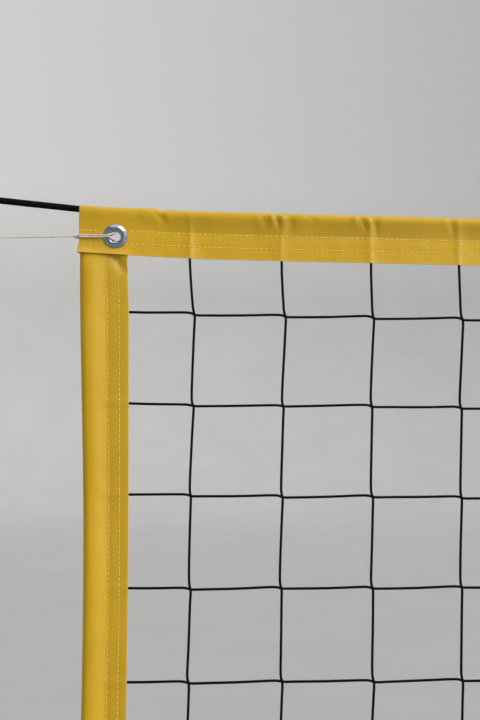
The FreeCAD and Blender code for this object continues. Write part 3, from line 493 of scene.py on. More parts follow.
class Band:
    """A strip folded over a rope or a rod and sewn through with two seams. along is measured from one end
    of the band and depth from its fold; face is -1 on the front and +1 on the back.

    Each kind of band has its own depths of mesh lines, half (half its thickness before its creases), ridges
    (where twines between its layers show through), its mask of painted shade, and place (a point in the net's
    frame)."""

    seams = (25.0, 38.5)
    slim = 1.95
    holes = ()

    def __init__(self, length, seed, creases):
        self.length = length
        self.seed = seed
        self.creases = creases

    def from_end(self, along):
        """Distance from the nearer end."""
        return np.minimum(along, self.length - along)

    def drift(self, along, depth):
        """How far both layers stand behind the band's plane."""
        return 0.0

    def least(self, depth):
        """The least half thickness, where something lies between the layers."""
        return 0.0

    def creased(self, along, depth):
        """How far the cloth stands out of its even shape."""
        out = 0.22 * ripple(along, depth, 90, self.seed)
        out = out + 0.09 * ripple(along, depth, 16, self.seed + 1)
        for seam in self.seams:
            pinch = hill(depth, seam, 1.5)
            out = out - pinch * (0.22 + 0.10 * ripple(along, depth * 0, 7, self.seed + 2))
            out = out + 0.14 * hill(depth, seam, 5.0) * ripple(along, depth * 0.4, 21, self.seed + 3)
        for at, lean, reach, width, height in self.creases:
            line = along - at - lean * depth
            near = np.abs(line) < 6 * width
            shape = np.where(near, hill(line, 0, width) - 0.35 * hill(line, 0, width * 2.4), 0)
            out = out + 1.5 * height * shape * (1 - step_up(depth, reach * 0.45, reach))
        return out + self.ridges(along, depth)

    def surface(self, along, depth, face, raised=0.0):
        tight = step_up(depth, 0.5, 3.5)
        out = self.half(along, depth) + self.creased(along, depth) * tight
        out = np.maximum(out, self.least(depth)) + raised
        return settle(self.place(along, face * out + self.drift(along, depth), depth, face))

    def sheet(self, name, node, stations):
        """The cloth as a closed sheet of its real thickness, with its eyelet holes."""
        depths = np.array(self.depths)
        across = np.concatenate([-depths[::-1], [0.0], depths])
        along, signed = np.meshgrid(stations, across, indexing="ij")
        depth, face = np.abs(signed), np.sign(signed)
        outer = self.surface(along, depth, face)
        normal = np.cross(np.gradient(outer, axis=1), np.gradient(outer, axis=0))
        normal /= np.linalg.norm(normal, axis=-1)[..., None]
        if normal[:, 0, 1].mean() > 0:
            normal = -normal
        inner = outer - normal * CLOTH
        kept = np.ones((depth.shape[0] - 1, depth.shape[1] - 1), bool)
        for at, deep, radius in self.holes:
            middle = (along[:-1] + along[1:]) / 2
            level = (depth[:, :-1] + depth[:, 1:]) / 2
            kept &= np.hypot(middle[:, :-1] - at, level[:-1] - deep) > radius
        rim = 0.55 * step_up(depth, BAND_WIDTH - 0.9, BAND_WIDTH - 0.1)
        rim = np.maximum(rim, 0.7 * (1 - step_up(self.from_end(along), 0.2, 1.2)))
        # The mask of painted shade and the pale cut edges go to the cloth's colour as mesh attributes.
        marks = {"painted_shade": np.tile(self.painted_shade(along, depth).ravel(), 2), "edge": np.tile(rim.ravel(), 2)}
        skins = np.concatenate([outer.reshape(-1, 3), inner.reshape(-1, 3)])
        faces = shell_faces(kept, outer.reshape(-1, 3))
        return make(name, skins, faces, VINYL, "carriage", [node], attributes=marks)

    def stitches(self, name, node, face, start):
        """Two rows of lockstitch: each stitch is a short thread that comes up, lies on the cloth and goes
        down."""
        bundle = Bundle()
        sides = 5
        angle = np.arange(sides) * TURN / sides + 0.3
        share = np.array([0.0, 0.16, 0.5, 0.84, 1.0])
        rise = np.array([-0.25, 0.22, 0.34, 0.22, -0.25])
        girth = np.array([0.20, 0.38, 0.43, 0.38, 0.20])
        for row, seam in enumerate(self.seams):
            first = np.arange(start, self.length - start - STITCH_PITCH, STITCH_PITCH)
            for at, deep, _ in self.holes:
                clear = np.where(self.from_end(first) < EYELET_FROM_END, 18.0, 12.0)
                first = first[np.hypot(first + STITCH_PITCH / 2 - at, seam - deep) > clear]
            wobble = 0.12 * np.sin(first * 1.7 + row) + 0.1 * np.sin(first * 0.31)
            at = first[:, None] + STITCH_PITCH * 0.86 * share[None, :]
            depth = seam + wobble[:, None] + 0 * at
            spine = self.surface(at, depth, np.full_like(at, face), rise[None, :])
            ahead = np.gradient(spine, axis=1)
            ahead /= np.linalg.norm(ahead, axis=-1)[..., None]
            side = np.cross(ahead, (0.0, 1.0, 0.0))
            side /= np.linalg.norm(side, axis=-1)[..., None]
            up = np.cross(ahead, side)[:, :, None, :]
            side = side[:, :, None, :]
            ring = np.cos(angle)[None, None, :, None] * side + np.sin(angle)[None, None, :, None] * up
            points = spine[:, :, None, :] + girth[None, :, None, None] * ring
            size = len(share) * sides
            offsets = np.arange(len(first)) * size
            faces = (grid_faces(len(share), sides, True)[None] + offsets[:, None, None]).reshape(-1, 4)
            caps = []
            for offset in offsets.tolist():
                caps.append([offset + k for k in range(sides)][::-1])
                caps.append([offset + size - sides + k for k in range(sides)])
            bundle.add(points, faces, caps=caps)
        return bundle.make(name, THREAD, "carriage", node)

    def sewn(self, cloth_name, prefix, stations, start, core):
        """The cloth, its stitching on both faces, its length and what it lies over."""
        node = prefix + "_band"
        cloth = self.sheet(cloth_name, node, stations)
        threads = []
        for word, face in (("front", -1.0), ("back", 1.0)):
            threads.append(self.stitches(f"{prefix}_stitching_{word}", node, face, start))
        return cloth, threads, self.length, core


def shell_faces(kept, points):
    """Faces of a closed shell over a grid: its outer and inner skins where kept is true, and walls round
    their edges. The inner skin's points come after the outer skin's."""
    rows, columns = kept.shape[0] + 1, kept.shape[1] + 1
    count = rows * columns
    outer = grid_faces(rows, columns)[kept.ravel()]
    padded = np.pad(kept, 1)
    r, c = np.nonzero(kept)
    corner = r * columns + c
    walls = []
    below = columns + 1
    sides = ((-1, 0, 0, 1), (0, 1, 1, below), (1, 0, below, columns), (0, -1, columns, 0))
    for down, right, first, second in sides:
        open_side = ~padded[r + 1 + down, c + 1 + right]
        p, q = corner[open_side] + first, corner[open_side] + second
        walls.append(np.stack([q, p, p + count, q + count], 1))
    faces = np.concatenate([outer, outer[:, ::-1] + count] + walls)
    return faces if np.array_equal(facing_out(points, outer), outer) else faces[:, ::-1]


class RopeBand(Band):
    """The head band, or the foot band when it is turned over."""

    holes = tuple((at, EYELET_FROM_EDGE, 8.2) for at in (EYELET_FROM_END, NET_LENGTH - EYELET_FROM_END))
    depths = (0.15, 0.6, 1.3, 2.2, 3.3, 4.6, 6.2, 8.5, 11.5, 15, 19, 22.5, 24.2, 25, 25.8, 28, 31.5, 35, 37.6,
              38.5, 39.4, 42, 45.5, 49, 50.5, 51)

    def __init__(self, seed, edge, down):
        super().__init__(NET_LENGTH, seed, edge_creases(seed + 10))
        self.notches = edge_notches(seed + 12)
        self.edge = edge
        self.down = down
        draw = np.random.default_rng(seed + 9)
        self.heights = draw.uniform(1.2, 2.1, COLUMN_COUNT + 1)
        self.heights[1] = 2.0
        self.shifts = draw.uniform(-1.5, 1.5, COLUMN_COUNT + 1)

    def least(self, depth):
        return np.sqrt(np.clip((ROPE_RADIUS + ROPE_COVER) ** 2 - (depth - ROPE_DEPTH) ** 2, 0, None))

    def painted_shade(self, along, depth):
        """Painted shade on the cloth of the rope's tunnel, patchy, and less at the ends."""
        tunnel = step_up(depth, 5.0, 9.0) * (1 - step_up(depth, self.seams[0] - 2.5, self.seams[0]))
        patchy = 0.62 + 0.2 * ripple(along, depth * 0.5, 120, self.seed + 6)
        return tunnel * patchy * (0.35 + 0.65 * step_up(self.from_end(along), 50, 110))

    def half(self, along, depth):
        """The fold is round over the rope. The free edge flares over the side band and curls at the end."""
        crown = np.sqrt(np.clip(ROPE_DEPTH**2 - (ROPE_DEPTH - np.minimum(depth, ROPE_DEPTH)) ** 2, 0, None))
        hang = self.slim + (ROPE_DEPTH - self.slim) * (1 - step_up(depth, ROPE_DEPTH, 24.0)) ** 1.35
        near, free = self.from_end(along), step_up(depth, 44.0, BAND_WIDTH)
        flare = 2.2 * (1 - step_up(near, 40.0, 62.0)) * free
        curl = 1.5 * (1 - step_up(near, 0.0, 26.0)) * free
        return np.where(depth < ROPE_DEPTH, crown, hang) + flare + curl

    def ridges(self, along, depth):
        which = np.clip(np.rint((along - SIDE_INSET) / COLUMN_PITCH), 0, COLUMN_COUNT).astype(int)
        height = self.heights[which] * ((which > 0) & (which < COLUMN_COUNT))
        lean = self.shifts[which] * (1 - depth / BAND_WIDTH)
        offset = along - SIDE_INSET - which * COLUMN_PITCH + lean
        crest = np.exp(-np.sqrt(offset**2 + 0.6) / np.where(offset < 0, 5.0, 3.6))
        return height * crest * (0.4 + 0.6 * step_up(depth, 12.0, 26.0))

    def place(self, along, out, depth, face):
        near = self.from_end(along)
        uneven = 0.995 + np.where(face < 0, 0.035, -0.012) * step_up(near, 0.0, 160.0)
        sag = 0.35 * ripple(along, depth * 0, 180, self.seed + 5)
        for at, height, width in self.notches:
            sag = sag - height * hill(along, at, width) * (1 - step_up(depth, 1.0, 9.0))
        spread = 1.6 * step_up(depth, 36.0, 51.0) * np.exp(-near / 20)
        x = along - NET_END + spread * np.sign(along - self.length / 2)
        return np.stack([x, out, self.edge - self.down * (depth * uneven - sag)], -1)


class SideBand(Band):
    """A side band, with its stiffening rod in the pocket along its outer edge."""

    seams = (28.0, 40.5)
    full = 5.1
    depths = (0.15, 0.7, 1.6, 2.9, 4.6, 6.6, 9, 12, 15.5, 19.5, 23.5, 26.3, 27.3, 28, 28.7, 30.5, 34, 38,
              39.7, 40.5, 41.3, 44, 48, 50.4, 51)

    def __init__(self, side):
        self.side = side
        self.foot = BOTTOM_EDGE + BAND_WIDTH - SIDE_TUCK
        super().__init__(TOP_EDGE - BAND_WIDTH + SIDE_TUCK - self.foot, 51 + side, SIDE_CREASES)

    def half(self, along, depth):
        """Full over the rod, pressed at the head and foot bands and flat where it is tucked into them."""
        end = self.from_end(along)
        pressed = 0.42 + 0.58 * step_up(end, 4.0, 32.0)
        pillow = self.full * np.sqrt(np.clip(1 - ((np.minimum(depth, 10.0) - 10.0) / 10.0) ** 2, 0, None))
        fall = self.slim + (self.full - self.slim) * (1 - step_up(depth, 11.0, self.seams[0]))
        tucked = 0.9 + 4.2 * step_up(end, 1.0, 16.0)
        return np.minimum(np.where(depth < 10.0, pillow, fall) * pressed, tucked)

    def ridges(self, along, depth):
        z = self.foot + along
        which = np.clip(np.rint((z - BOTTOM_EDGE - FOOT_INSET) / ROW_PITCH), 1, ROW_COUNT - 1)
        offset = z - BOTTOM_EDGE - FOOT_INSET - which * ROW_PITCH
        return 0.8 * hill(offset, 0, 2.6) * step_up(depth, 18.0, 27.0)

    def drift(self, along, depth):
        """A fold that runs slantwise from the outer seam to the inner edge, just clear of the head or foot
        band."""
        end = self.from_end(along)
        across = depth - 38.5 - 0.62 * (end - 10.7)
        trough = hill(across, 0, np.where(across < 0, 7.0, 2.9))
        return 3.4 * trough * step_up(end, 3.0, 10.0) * (1 - step_up(end, 22.0, 34.0))

    def painted_shade(self, along, depth):
        """Painted shade, a little darker outside the rod and between the seams."""
        patchy = 1 + 0.3 * ripple(along, depth * 0.5, 140, self.seed + 6)
        outside = 0.6 * (1 - step_up(depth, 2.0, 7.0))
        return (outside + 0.4 * step_up(depth, self.seams[0] - 2.0, self.seams[0])) * patchy

    def place(self, along, out, depth, face):
        narrowed = 0.98 - 0.04 * step_up(self.from_end(along), 20.0, 330.0)
        x = self.side * (NET_END - 0.2 - BAND_WIDTH + (BAND_WIDTH - depth) * narrowed)
        return np.stack([x, out, self.foot + along], -1)


def net_stations():
    """Places along the head or foot band: close together at the ends and round each twine."""
    fine = np.arange(0.0, 460.0, 3.0)
    corner = NET_LENGTH - np.arange(0.0, 90.0, 3.0)
    spots = [fine, corner, fine[:3] + 1.5, corner[:3] - 1.5]
    for column in range(COLUMN_COUNT + 1):
        middle = SIDE_INSET + column * COLUMN_PITCH
        spots.append(middle + np.array([-40, -24, -12, -6, -3, -1, 0.2, 1.4, 3.5, 7, 13, 24]))
    every = np.unique(np.concatenate(spots).round(2))
    every = every[(every >= 0) & (every <= NET_LENGTH)]
    keep = np.concatenate([[True], np.diff(every) > 0.7])
    keep[-1] = True
    return every[keep]


# A rise before each twine and a dip after it: ranges of place, lean, reach and height, then width and sign.
EDGE_CREASES = (
    ((-22, 4), (-0.4, 0.6), (14, 24), (0.3, 0.7), 3.2, 1),
    ((2, 12), (-0.3, 0.3), (16, 26), (0.4, 0.8), 4.0, -1),
)


def edge_creases(seed):
    """The creases that start at the fold."""
    draw = np.random.default_rng(seed)
    made = list(CORNER_CREASES)
    for column in range(5, COLUMN_COUNT):
        middle = SIDE_INSET + column * COLUMN_PITCH
        for *ranges, width, sign in EDGE_CREASES:
            place, lean, reach, height = (draw.uniform(*ends) for ends in ranges)
            made.append((middle + place, lean, reach, width, sign * height))
    return made


def edge_notches(seed):
    """Small dips in the fold, where twines are tied to the rope."""
    draw = np.random.default_rng(seed)
    places = [SIDE_INSET + column * COLUMN_PITCH + draw.uniform(-25, 8) for column in range(5, COLUMN_COUNT)]
    return CORNER_NOTCHES + [(at, draw.uniform(0.2, 0.9), 3.2) for at in places]


# A crease is its place, lean, reach, width and height.
SIDE_CREASES = [(210, 0.2, 20, 6.0, 0.3), (640, -0.3, 24, 7.0, 0.35)]
# The creases and dips nearest the left corner. A dip is its place, depth and width.
CORNER_CREASES = [
    (69, 0.10, 20, 5.0, 0.5),
    (79.5, 0.75, 20, 4.2, -1.4),
    (193, 0.35, 22, 3.4, -0.9),
    (203, 0.25, 14, 2.6, 1.0),
    (207.5, 0.35, 20, 2.6, -1.1),
    (216, 0.15, 16, 3.6, 0.9),
    (226, -0.10, 26, 4.6, -1.2),
    (243, 0.80, 12, 3.0, -0.8),
    (295, -0.10, 12, 2.8, 1.2),
    (300, 0.55, 22, 3.0, -1.1),
    (308, 0.20, 18, 2.8, 1.1),
    (316, 0.12, 27, 3.6, -1.2),
    (400, 0.20, 24, 3.4, -1.0),
]
CORNER_NOTCHES = [
    (69, -0.7, 14.0),
    (79.5, -0.7, 3.0),
    (88, 1.2, 4.2),
    (204, 0.5, 2.4),
    (214, 0.6, 3.2),
    (243, 0.6, 3.2),
    (312, 0.8, 3.2),
    (398, 0.6, 3.2),
]


def build_bands():
    stations = net_stations()
    made = []
    for name, seed, edge, down in (("head", 11, TOP_EDGE, 1), ("foot", 31, BOTTOM_EDGE, -1)):
        band = RopeBand(seed, edge, down)
        made.append(band.sewn(name + "_band_cloth", name, stations, 3.0, name + "_rope_braid"))
    for side, name in ((-1, "left_side"), (1, "right_side")):
        band = SideBand(side)
        along = np.unique(np.concatenate([np.arange(0, band.length, 4.0), [band.length]]))
        made.append(band.sewn(name + "_cloth", name, along, 2.0, "side_rods_fitted"))
    return made


# ---- Netting ----
TWINE_RADIUS = 1.42
TWINE_LAY = 9.0
TWINE_TUCK = 30.0
BEND_FAR = 9.0
BEND_NEAR = 4.0
LONG_SPAN = 30.0
FIRST_LEANS = {1: 2.4, 2: 0.6, 3: -0.4}
TOP_ROW_SLACK = 1.6


def knot_points(column, row):
    """Where two twines enter and leave their shared joint: they run together down to the right."""
    x = -NET_END + SIDE_INSET + column * COLUMN_PITCH
    z = TOP_EDGE - HEAD_INSET - row * ROW_PITCH
    draw = np.random.default_rng(1000 + column * 40 + row)
    x += draw.normal(0, 0.6) + TOP_ROW_SLACK * (row == 1)
    z += draw.normal(0, 0.5)
    tall = (1.7 if row == 1 else 1.15) + draw.normal(0, 0.2)
    wide = 1.2 + draw.normal(0, 0.15)
    return np.array([x - wide, 0, z + tall]), np.array([x + wide, 0, z - tall])


def twine_path(stops, offset, start, end):
    """A twine that goes straight between joints and bends where it enters and leaves each one."""
    points = [start]
    befores = [start] + [out for _, out in stops]
    afters = [into for into, _ in stops[1:]] + [end]
    for (into, out), before, after in zip(stops, befores, afters):
        arriving = (into - before) / np.linalg.norm(into - before)
        leaving = (after - out) / np.linalg.norm(after - out)
        points += [into - arriving * BEND_FAR, into - arriving * BEND_NEAR + offset * 0.3]
        points += [into + offset * 0.9, (into + out) / 2 + offset, out + offset * 0.9]
        points += [out + leaving * BEND_NEAR + offset * 0.3, out + leaving * BEND_FAR]
    return np.array(points + [end])


def rounded(path):
    """Two passes that round the corners of a path and keep its ends."""
    for _ in range(2):
        softer = path.copy()
        softer[1:-1] = 0.25 * path[:-2] + 0.5 * path[1:-1] + 0.25 * path[2:]
        path = softer
    return path


def with_middles(path, waviness, sag, seed):
    """Adds slightly wavy middle points to each long span, which hangs by sag."""
    draw = np.random.default_rng(seed)
    made = [path[0]]
    for a, b in zip(path, path[1:]):
        if np.linalg.norm(b - a) > LONG_SPAN:
            for share in (0.25, 0.5, 0.75):
                wave = draw.normal(0, waviness, 3) * np.array([1, 0.5, 1])
                made.append(a + (b - a) * share + wave - np.array([0, 0, sag * math.sin(math.pi * share)]))
        made.append(b)
    return np.array(made)


def add_twine(bundle, path, waviness, sag, seed):
    path = rounded(with_middles(path, waviness, sag, seed))
    tube(bundle, settle(path), TWINE_RADIUS, 7, lay=TWINE_LAY)


def build_netting():
    """Two twines that share a joint stand a little beside each other."""
    leans = np.random.default_rng(77)
    beside = np.array([0.72, 0.55, 0.5])
    for part, columns in (("left", range(1, 44)), ("right", range(44, COLUMN_COUNT))):
        bundle = Bundle()
        for column in columns:
            stops = [knot_points(column, row) for row in range(1, ROW_COUNT)]
            lean = FIRST_LEANS.get(column, leans.uniform(-0.5, 2.5))
            start = np.array([stops[0][0][0] - lean, 0, TOP_EDGE - TWINE_TUCK])
            end = np.array([stops[-1][1][0] + 1.0, 0, BOTTOM_EDGE + TWINE_TUCK])
            add_twine(bundle, twine_path(stops, beside, start, end), 0.35, sag=0.0, seed=7000 + column)
        bundle.make("netting_uprights_" + part, TWINE, "carriage", "netting_uprights", ["netting_uprights"])
    for part, rows in (("upper", range(1, 6)), ("lower", range(6, ROW_COUNT))):
        bundle = Bundle()
        for row in rows:
            stops = [knot_points(column, row) for column in range(1, COLUMN_COUNT)]
            z = TOP_EDGE - HEAD_INSET - row * ROW_PITCH
            start, end = (np.array([side * (NET_END - TWINE_TUCK), 0, z]) for side in (-1, 1))
            add_twine(bundle, twine_path(stops, -beside, start, end), 0.3, sag=0.8, seed=8000 + row)
        bundle.make("netting_rows_" + part, TWINE, "carriage", "netting_rows", ["netting_rows"])


# ---- Ropes ----
ROPE_LOOSE = 0.43
HIDDEN_ROPE_RADIUS = ROPE_RADIUS * 0.95
LOOP_ROPE_RADIUS = ROPE_RADIUS * 0.97
DRUM_LANES = (6.4, 12.8)
FOOT_PIN_RADIUS = 5.0
WHIPPING_TURNS = 9
WHIPPING_PITCH = 1.55


def circle_points(centre, radius, start, end, count):
    """Points on a circle in the net's plane between two angles in degrees, measured from +X to +Z."""
    angle = np.radians(np.linspace(start, end, count))
    x, z = centre[0] + radius * np.cos(angle), centre[1] + radius * np.sin(angle)
    return np.stack([x, 0 * angle, z], 1)


def node_middle(node):
    low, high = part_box(node)
    return (low + high) / (2 * MM)


def build_ropes():
    """The head rope comes off the drum, over the sheave and into the head band, and ends on the other post
    in an eye round the thimble."""
    level = TOP_EDGE - ROPE_DEPTH
    sheave = node_middle("sheave")
    mouth = settle(np.array([-NET_END, 0.0, level]))
    away = np.array([sheave.x - mouth[0], sheave.z - mouth[2]])
    reach = float(np.hypot(*away))
    slope = math.degrees(math.atan2(away[1], -away[0]) + math.asin(SHEAVE_ROPE_RADIUS / reach))
    wound = circle_points(DRUM, DRUM_ROPE_RADIUS, -270, 0, 60)
    over = circle_points((sheave.x, sheave.z), SHEAVE_ROPE_RADIUS, 180, 90 - slope, 24)
    tunnel = settle(np.array([[x, 0.0, level] for x in np.arange(-NET_END + 12, -NET_END + 95, 12)]))
    left = even(np.concatenate([wound, over, tunnel]), 1.3)
    ferrule_low, ferrule_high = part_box("rope_ferrule")
    entry = np.array([ferrule_low.x / MM - 0.5, 0.0, ferrule_low.z / MM + 7.0])
    mirror = np.array([-1, 1, 1])
    mirrored = (tunnel * mirror)[::-1]
    right = even(np.concatenate([mirrored, [mouth * mirror], [entry]]), 1.3)
    bundle = Bundle()
    rope(bundle, left, ROPE_RADIUS + ROPE_LOOSE * step_up(left[:, 0], sheave.x + 50, sheave.x + 110))
    rope(bundle, right, ROPE_RADIUS + ROPE_LOOSE)
    middle = even(np.array([tunnel[-1], [-4000, 0, level], [4000, 0, level], mirrored[0]]), 100)
    tube(bundle, middle, HIDDEN_ROPE_RADIUS, 10, lay=ROPE_LAY)
    bundle.make("head_rope_braid", BLACK_ROPE, "carriage", "head_rope", ["head_rope"])

    thimble = node_middle("rope_thimble")
    legs = circle_points((thimble.x, thimble.z), EYE_RADIUS, 150, -138, 60)
    into = np.array([ferrule_high.x / MM - 2, 0.0, ferrule_high.z / MM - 7.5])
    eye = np.concatenate([[into + (0, 0, 2.6)], legs, [into - (0, 0, 2.6)]])
    bundle = Bundle()
    rope(bundle, smooth(eye[::4], 1.2), LOOP_ROPE_RADIUS)
    bundle.make("rope_eye_braid", BLACK_ROPE, "carriage", "rope_eye", ["rope_eye"])

    bundle = Bundle()
    for lane in DRUM_LANES:
        ring = circle_points(DRUM, DRUM_ROPE_RADIUS, 0, 360, 161)[:-1]
        ring[:, 1] = -lane
        rope(bundle, ring, ROPE_RADIUS, closed=True)
    bundle.make("drum_turns_braid", BLACK_ROPE, "drum", "drum_rope_turns", ["drum_rope_turns"])


def build_foot_rope():
    """The foot rope ends on each post in a loop, closed by a whipping of twine."""
    _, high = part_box("foot_rope")
    ring = FOOT_PIN_RADIUS + ROPE_RADIUS + 0.4
    centre_x = high.x / MM - ring - ROPE_RADIUS
    z = BOTTOM_EDGE + ROPE_DEPTH
    bundle, cuffs = Bundle(), Bundle()
    for side in (-1, 1):
        loop = circle_points((0, 0), ring, 155, -155, 40) * (side, 1, 1) + (side * centre_x, 0, z)
        neck, back = side * (centre_x - ring - 9), side * (centre_x - ring - 20)
        tail = np.array([[back, 2.2, z + 2.4], [neck, 1.6, z + 3.2]])
        run_in = np.array([[neck, -1.6, z - 2.6], [back, -1.2, z - 0.6]])
        straight = np.array([[side * x, 0, z] for x in (NET_END + 150, NET_END, NET_END - 90)])
        path = np.concatenate([tail, loop[::4], run_in, straight])
        rope(bundle, smooth(path, 1.3), LOOP_ROPE_RADIUS)
        for k in range(WHIPPING_TURNS):
            x = side * (centre_x - ring - 8 - WHIPPING_PITCH * k)
            turn = np.linspace(0, TURN, 25)[:-1]
            wrap = np.stack([x + 0 * turn, 4.3 * np.cos(turn), z + 0.6 + 5.9 * np.sin(turn)], 1)
            tube(cuffs, wrap, 0.8, 8, closed=True)
    middle = np.array([[x, 0, z] for x in (-NET_END + 80, 0, NET_END - 80)])
    tube(bundle, middle, HIDDEN_ROPE_RADIUS, 10, lay=ROPE_LAY)
    bundle.make("foot_rope_braid", BLACK_ROPE, "carriage", "foot_rope", ["foot_rope"])
    cuffs.make("foot_rope_whipping", TWINE, "carriage", "foot_rope")


# ---- Tie cords and eyelets ----
PIN_RADIUS = 4.0
PIN_HEAD_HALF = 6.5
TIE_LOOP_RADIUS = 6.3
# Radius and height above the cloth, from the eyelet's rim into its hole.
EYELET_DOME = (
    (13.1, 0.05), (13.15, 0.3), (12.9, 0.62), (12.3, 0.95), (11.5, 1.38), (10.7, 1.8), (9.9, 2.16),
    (9.2, 2.36), (8.5, 2.42), (7.8, 2.33), (7.1, 2.05), (6.5, 1.6), (6.05, 1.0), (5.75, 0.3), (5.6, -0.6),
)


def overhand(centre, size, bundle, lean):
    """A small overhand knot in a tie cord."""
    t = np.linspace(0, TURN, 73)[:-1]
    x = np.sin(t) + 2 * np.sin(2 * t)
    y = np.cos(t) - 2 * np.cos(2 * t)
    z = -np.sin(3 * t)
    curve = np.stack([z * 1.1, y * 0.8, x * 0.8], 1) * size / 3
    turned = np.array([[math.cos(lean), 0, -math.sin(lean)], [0, 1, 0], [math.sin(lean), 0, math.cos(lean)]])
    tube(bundle, curve @ turned.T + centre, CORD_RADIUS, 8, closed=True)


def build_tie(name, side, level, pin_x, pin_z):
    """Doubled through the eyelet, over the band's end into a knot, then one line to a pin on the post."""
    x, _, z = settle(np.array([side * (NET_END - EYELET_FROM_END), 0.0, level]))
    band_end = settle(np.array([side * NET_END, 0.0, level]))[0]
    knot = np.array([band_end + side * 3.0, 0.0, z - 0.7])
    bundle = Bundle()
    for lane, spread in ((0.9, 3.9), (-0.9, -3.6)):
        front = [
            knot + (-side * 1.2, -1.2, 0.4 * lane),
            [band_end + side * 0.4, -3.1, z - 0.7 + lane * 0.8],
            [band_end - side * 3.0, -3.9, z - 0.6 + lane],
            [band_end - side * 12.0, -3.9, z - 0.4 + lane],
        ]
        through = [
            [x + side * 14.5, -4.4, z - 0.2 + lane],
            [x + side * 9.4, -5.8, z + lane],
            [x + side * 6.4, -5.3, z + lane * 1.3],
            [x + side * 3.6, -3.0, z + spread * 0.72],
            [x + side * 0.9, 0.6, z + spread * 0.95],
            [x + side * 3.6, 4.6, z + spread * 0.8],
            [x + side * 8.4, 6.0, z + lane * 1.4],
            [x + side * 14.5, 5.1, z + lane],
        ]
        back = [np.array(point) * (1, -1, 1) for point in front[::-1]]
        cord(bundle, smooth(front + through + back, 0.9))
    overhand(knot, 2.3, bundle, 0.3)
    pin = np.array([pin_x, 0.0, pin_z])
    away = (knot - pin) / np.linalg.norm(knot - pin)
    loop_radius = PIN_RADIUS + CORD_RADIUS + 0.15
    second = pin + away * (loop_radius + 5.0)
    line = np.linspace(knot, second, 40)
    line[:, 2] -= 1.2 * np.sin(np.linspace(0, math.pi, 40))
    cord(bundle, even(line, 1.0))
    overhand(second, 2.1, bundle, 0.8)
    turns = np.linspace(-0.35, 2 * TURN + 0.35, 90)
    angle = math.atan2(away[2], away[0]) + turns
    lanes = np.interp(turns, [turns[0], turns[-1]], [-1.9, 1.9])
    coil = np.stack([pin[0] + loop_radius * np.cos(angle), lanes, pin[2] + loop_radius * np.sin(angle)], 1)
    cord(bundle, even(np.concatenate([[second], coil, [second]]), 0.9))
    hanging = [(0, 0, 0), (side * -2.0, -1.6, -5.0), (side * -3.0, -2.0, -13.0), (side * -2.2, -1.5, -23.0)]
    cord(bundle, smooth(second + np.array(hanging), 0.9))
    bundle.make(name + "_line", WHITE_CORD, "carriage", name, [name])


def build_ties():
    """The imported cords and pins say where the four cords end."""
    pins_low, pins_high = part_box("tie_pins")
    for side, word in ((-1, "left"), (1, "right")):
        for end in ("head", "foot"):
            node = f"{word}_{end}_tie_cord"
            low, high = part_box(node)
            pin_x = (low.x if side < 0 else high.x) / MM - side * TIE_LOOP_RADIUS
            if end == "head":
                build_tie(node, side, TOP_EDGE - EYELET_FROM_EDGE, pin_x, pins_high.z / MM - PIN_HEAD_HALF)
            else:
                build_tie(node, side, BOTTOM_EDGE + EYELET_FROM_EDGE, pin_x, pins_low.z / MM + PIN_HEAD_HALF)


def revolve(bundle, profile, centre, segments=96):
    """A turned piece about an axis along Y. profile is (radius, y), listed so that it closes."""
    radius, y = np.asarray(profile, float).T[:, :, None]
    angle = np.arange(segments)[None] * TURN / segments
    x, z = centre[0] + radius * np.cos(angle), centre[2] + radius * np.sin(angle)
    points = np.stack([x, y + 0 * angle + centre[1], z], -1)
    faces = grid_faces(len(profile), segments, True, True)
    bundle.add(points, facing_out(points.reshape(-1, 3), faces))


def arc(centre, radii, start, end, count):
    """Points of an ellipse's arc in a turned piece's profile."""
    angle = np.radians(np.linspace(start, end, count))
    return [(centre[0] + radii[0] * math.cos(a), centre[1] + radii[1] * math.sin(a)) for a in angle]


def build_eyelets():
    """The flange's dome rolls over into the hole, and the barrel's lip is rolled over the washer behind."""
    fronts, backs = Bundle(), Bundle()
    face = 2.0
    curve = smooth([(radius, -face - height, 0) for radius, height in EYELET_DOME], 0.25)
    dome = [(radius, y) for radius, y, _ in curve] + [(5.5, face + 1.9)]
    dome += arc((7.0, face + 1.9), (1.5, 0.85), 170, 20, 9)
    dome += [(8.5, face + 1.7), (6.3, face + 1.6), (6.3, -face - 0.05)]
    ring = [(6.5, face + 0.1), (13.0, face + 0.1), (13.0, face + 0.6)]
    ring += arc((12.0, face + 0.7), (1.0, 0.9), 0, 90, 6) + [(9.5, face + 1.7), (6.5, face + 1.5)]
    for side in (-1, 1):
        for level in (TOP_EDGE - EYELET_FROM_EDGE, BOTTOM_EDGE + EYELET_FROM_EDGE):
            at = settle(np.array([side * (NET_END - EYELET_FROM_END), 0.0, level]))
            revolve(fronts, dome, at)
            revolve(backs, ring, at)
    fronts.make("eyelet_rings", EYELET_METAL, "carriage", "eyelets", ["eyelets"])
    backs.make("eyelet_backs", EYELET_METAL, "carriage", "eyelet_washers", ["eyelet_washers"])


def build_rods():
    bundle = Bundle()
    for side in (-1, 1):
        low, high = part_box("side_rods")
        x = side * (high.x / MM - 4.0)
        z = np.linspace(low.z / MM + 14, high.z / MM - 14, 40)
        path = settle(np.stack([x + 0 * z, 0 * z, z], 1))
        path[:, 0] -= side * (1.0 + 0.6 * np.sin(np.linspace(0, math.pi, 40)))
        tube(bundle, path, 3.2, 20)
    bundle.make("side_rods_fitted", ROD_LOOK, "carriage", "side_rods", ["side_rods"])


WELD_RING = 46.2
WELD_GAP = 0.085
PLATE_TOP = 10.9


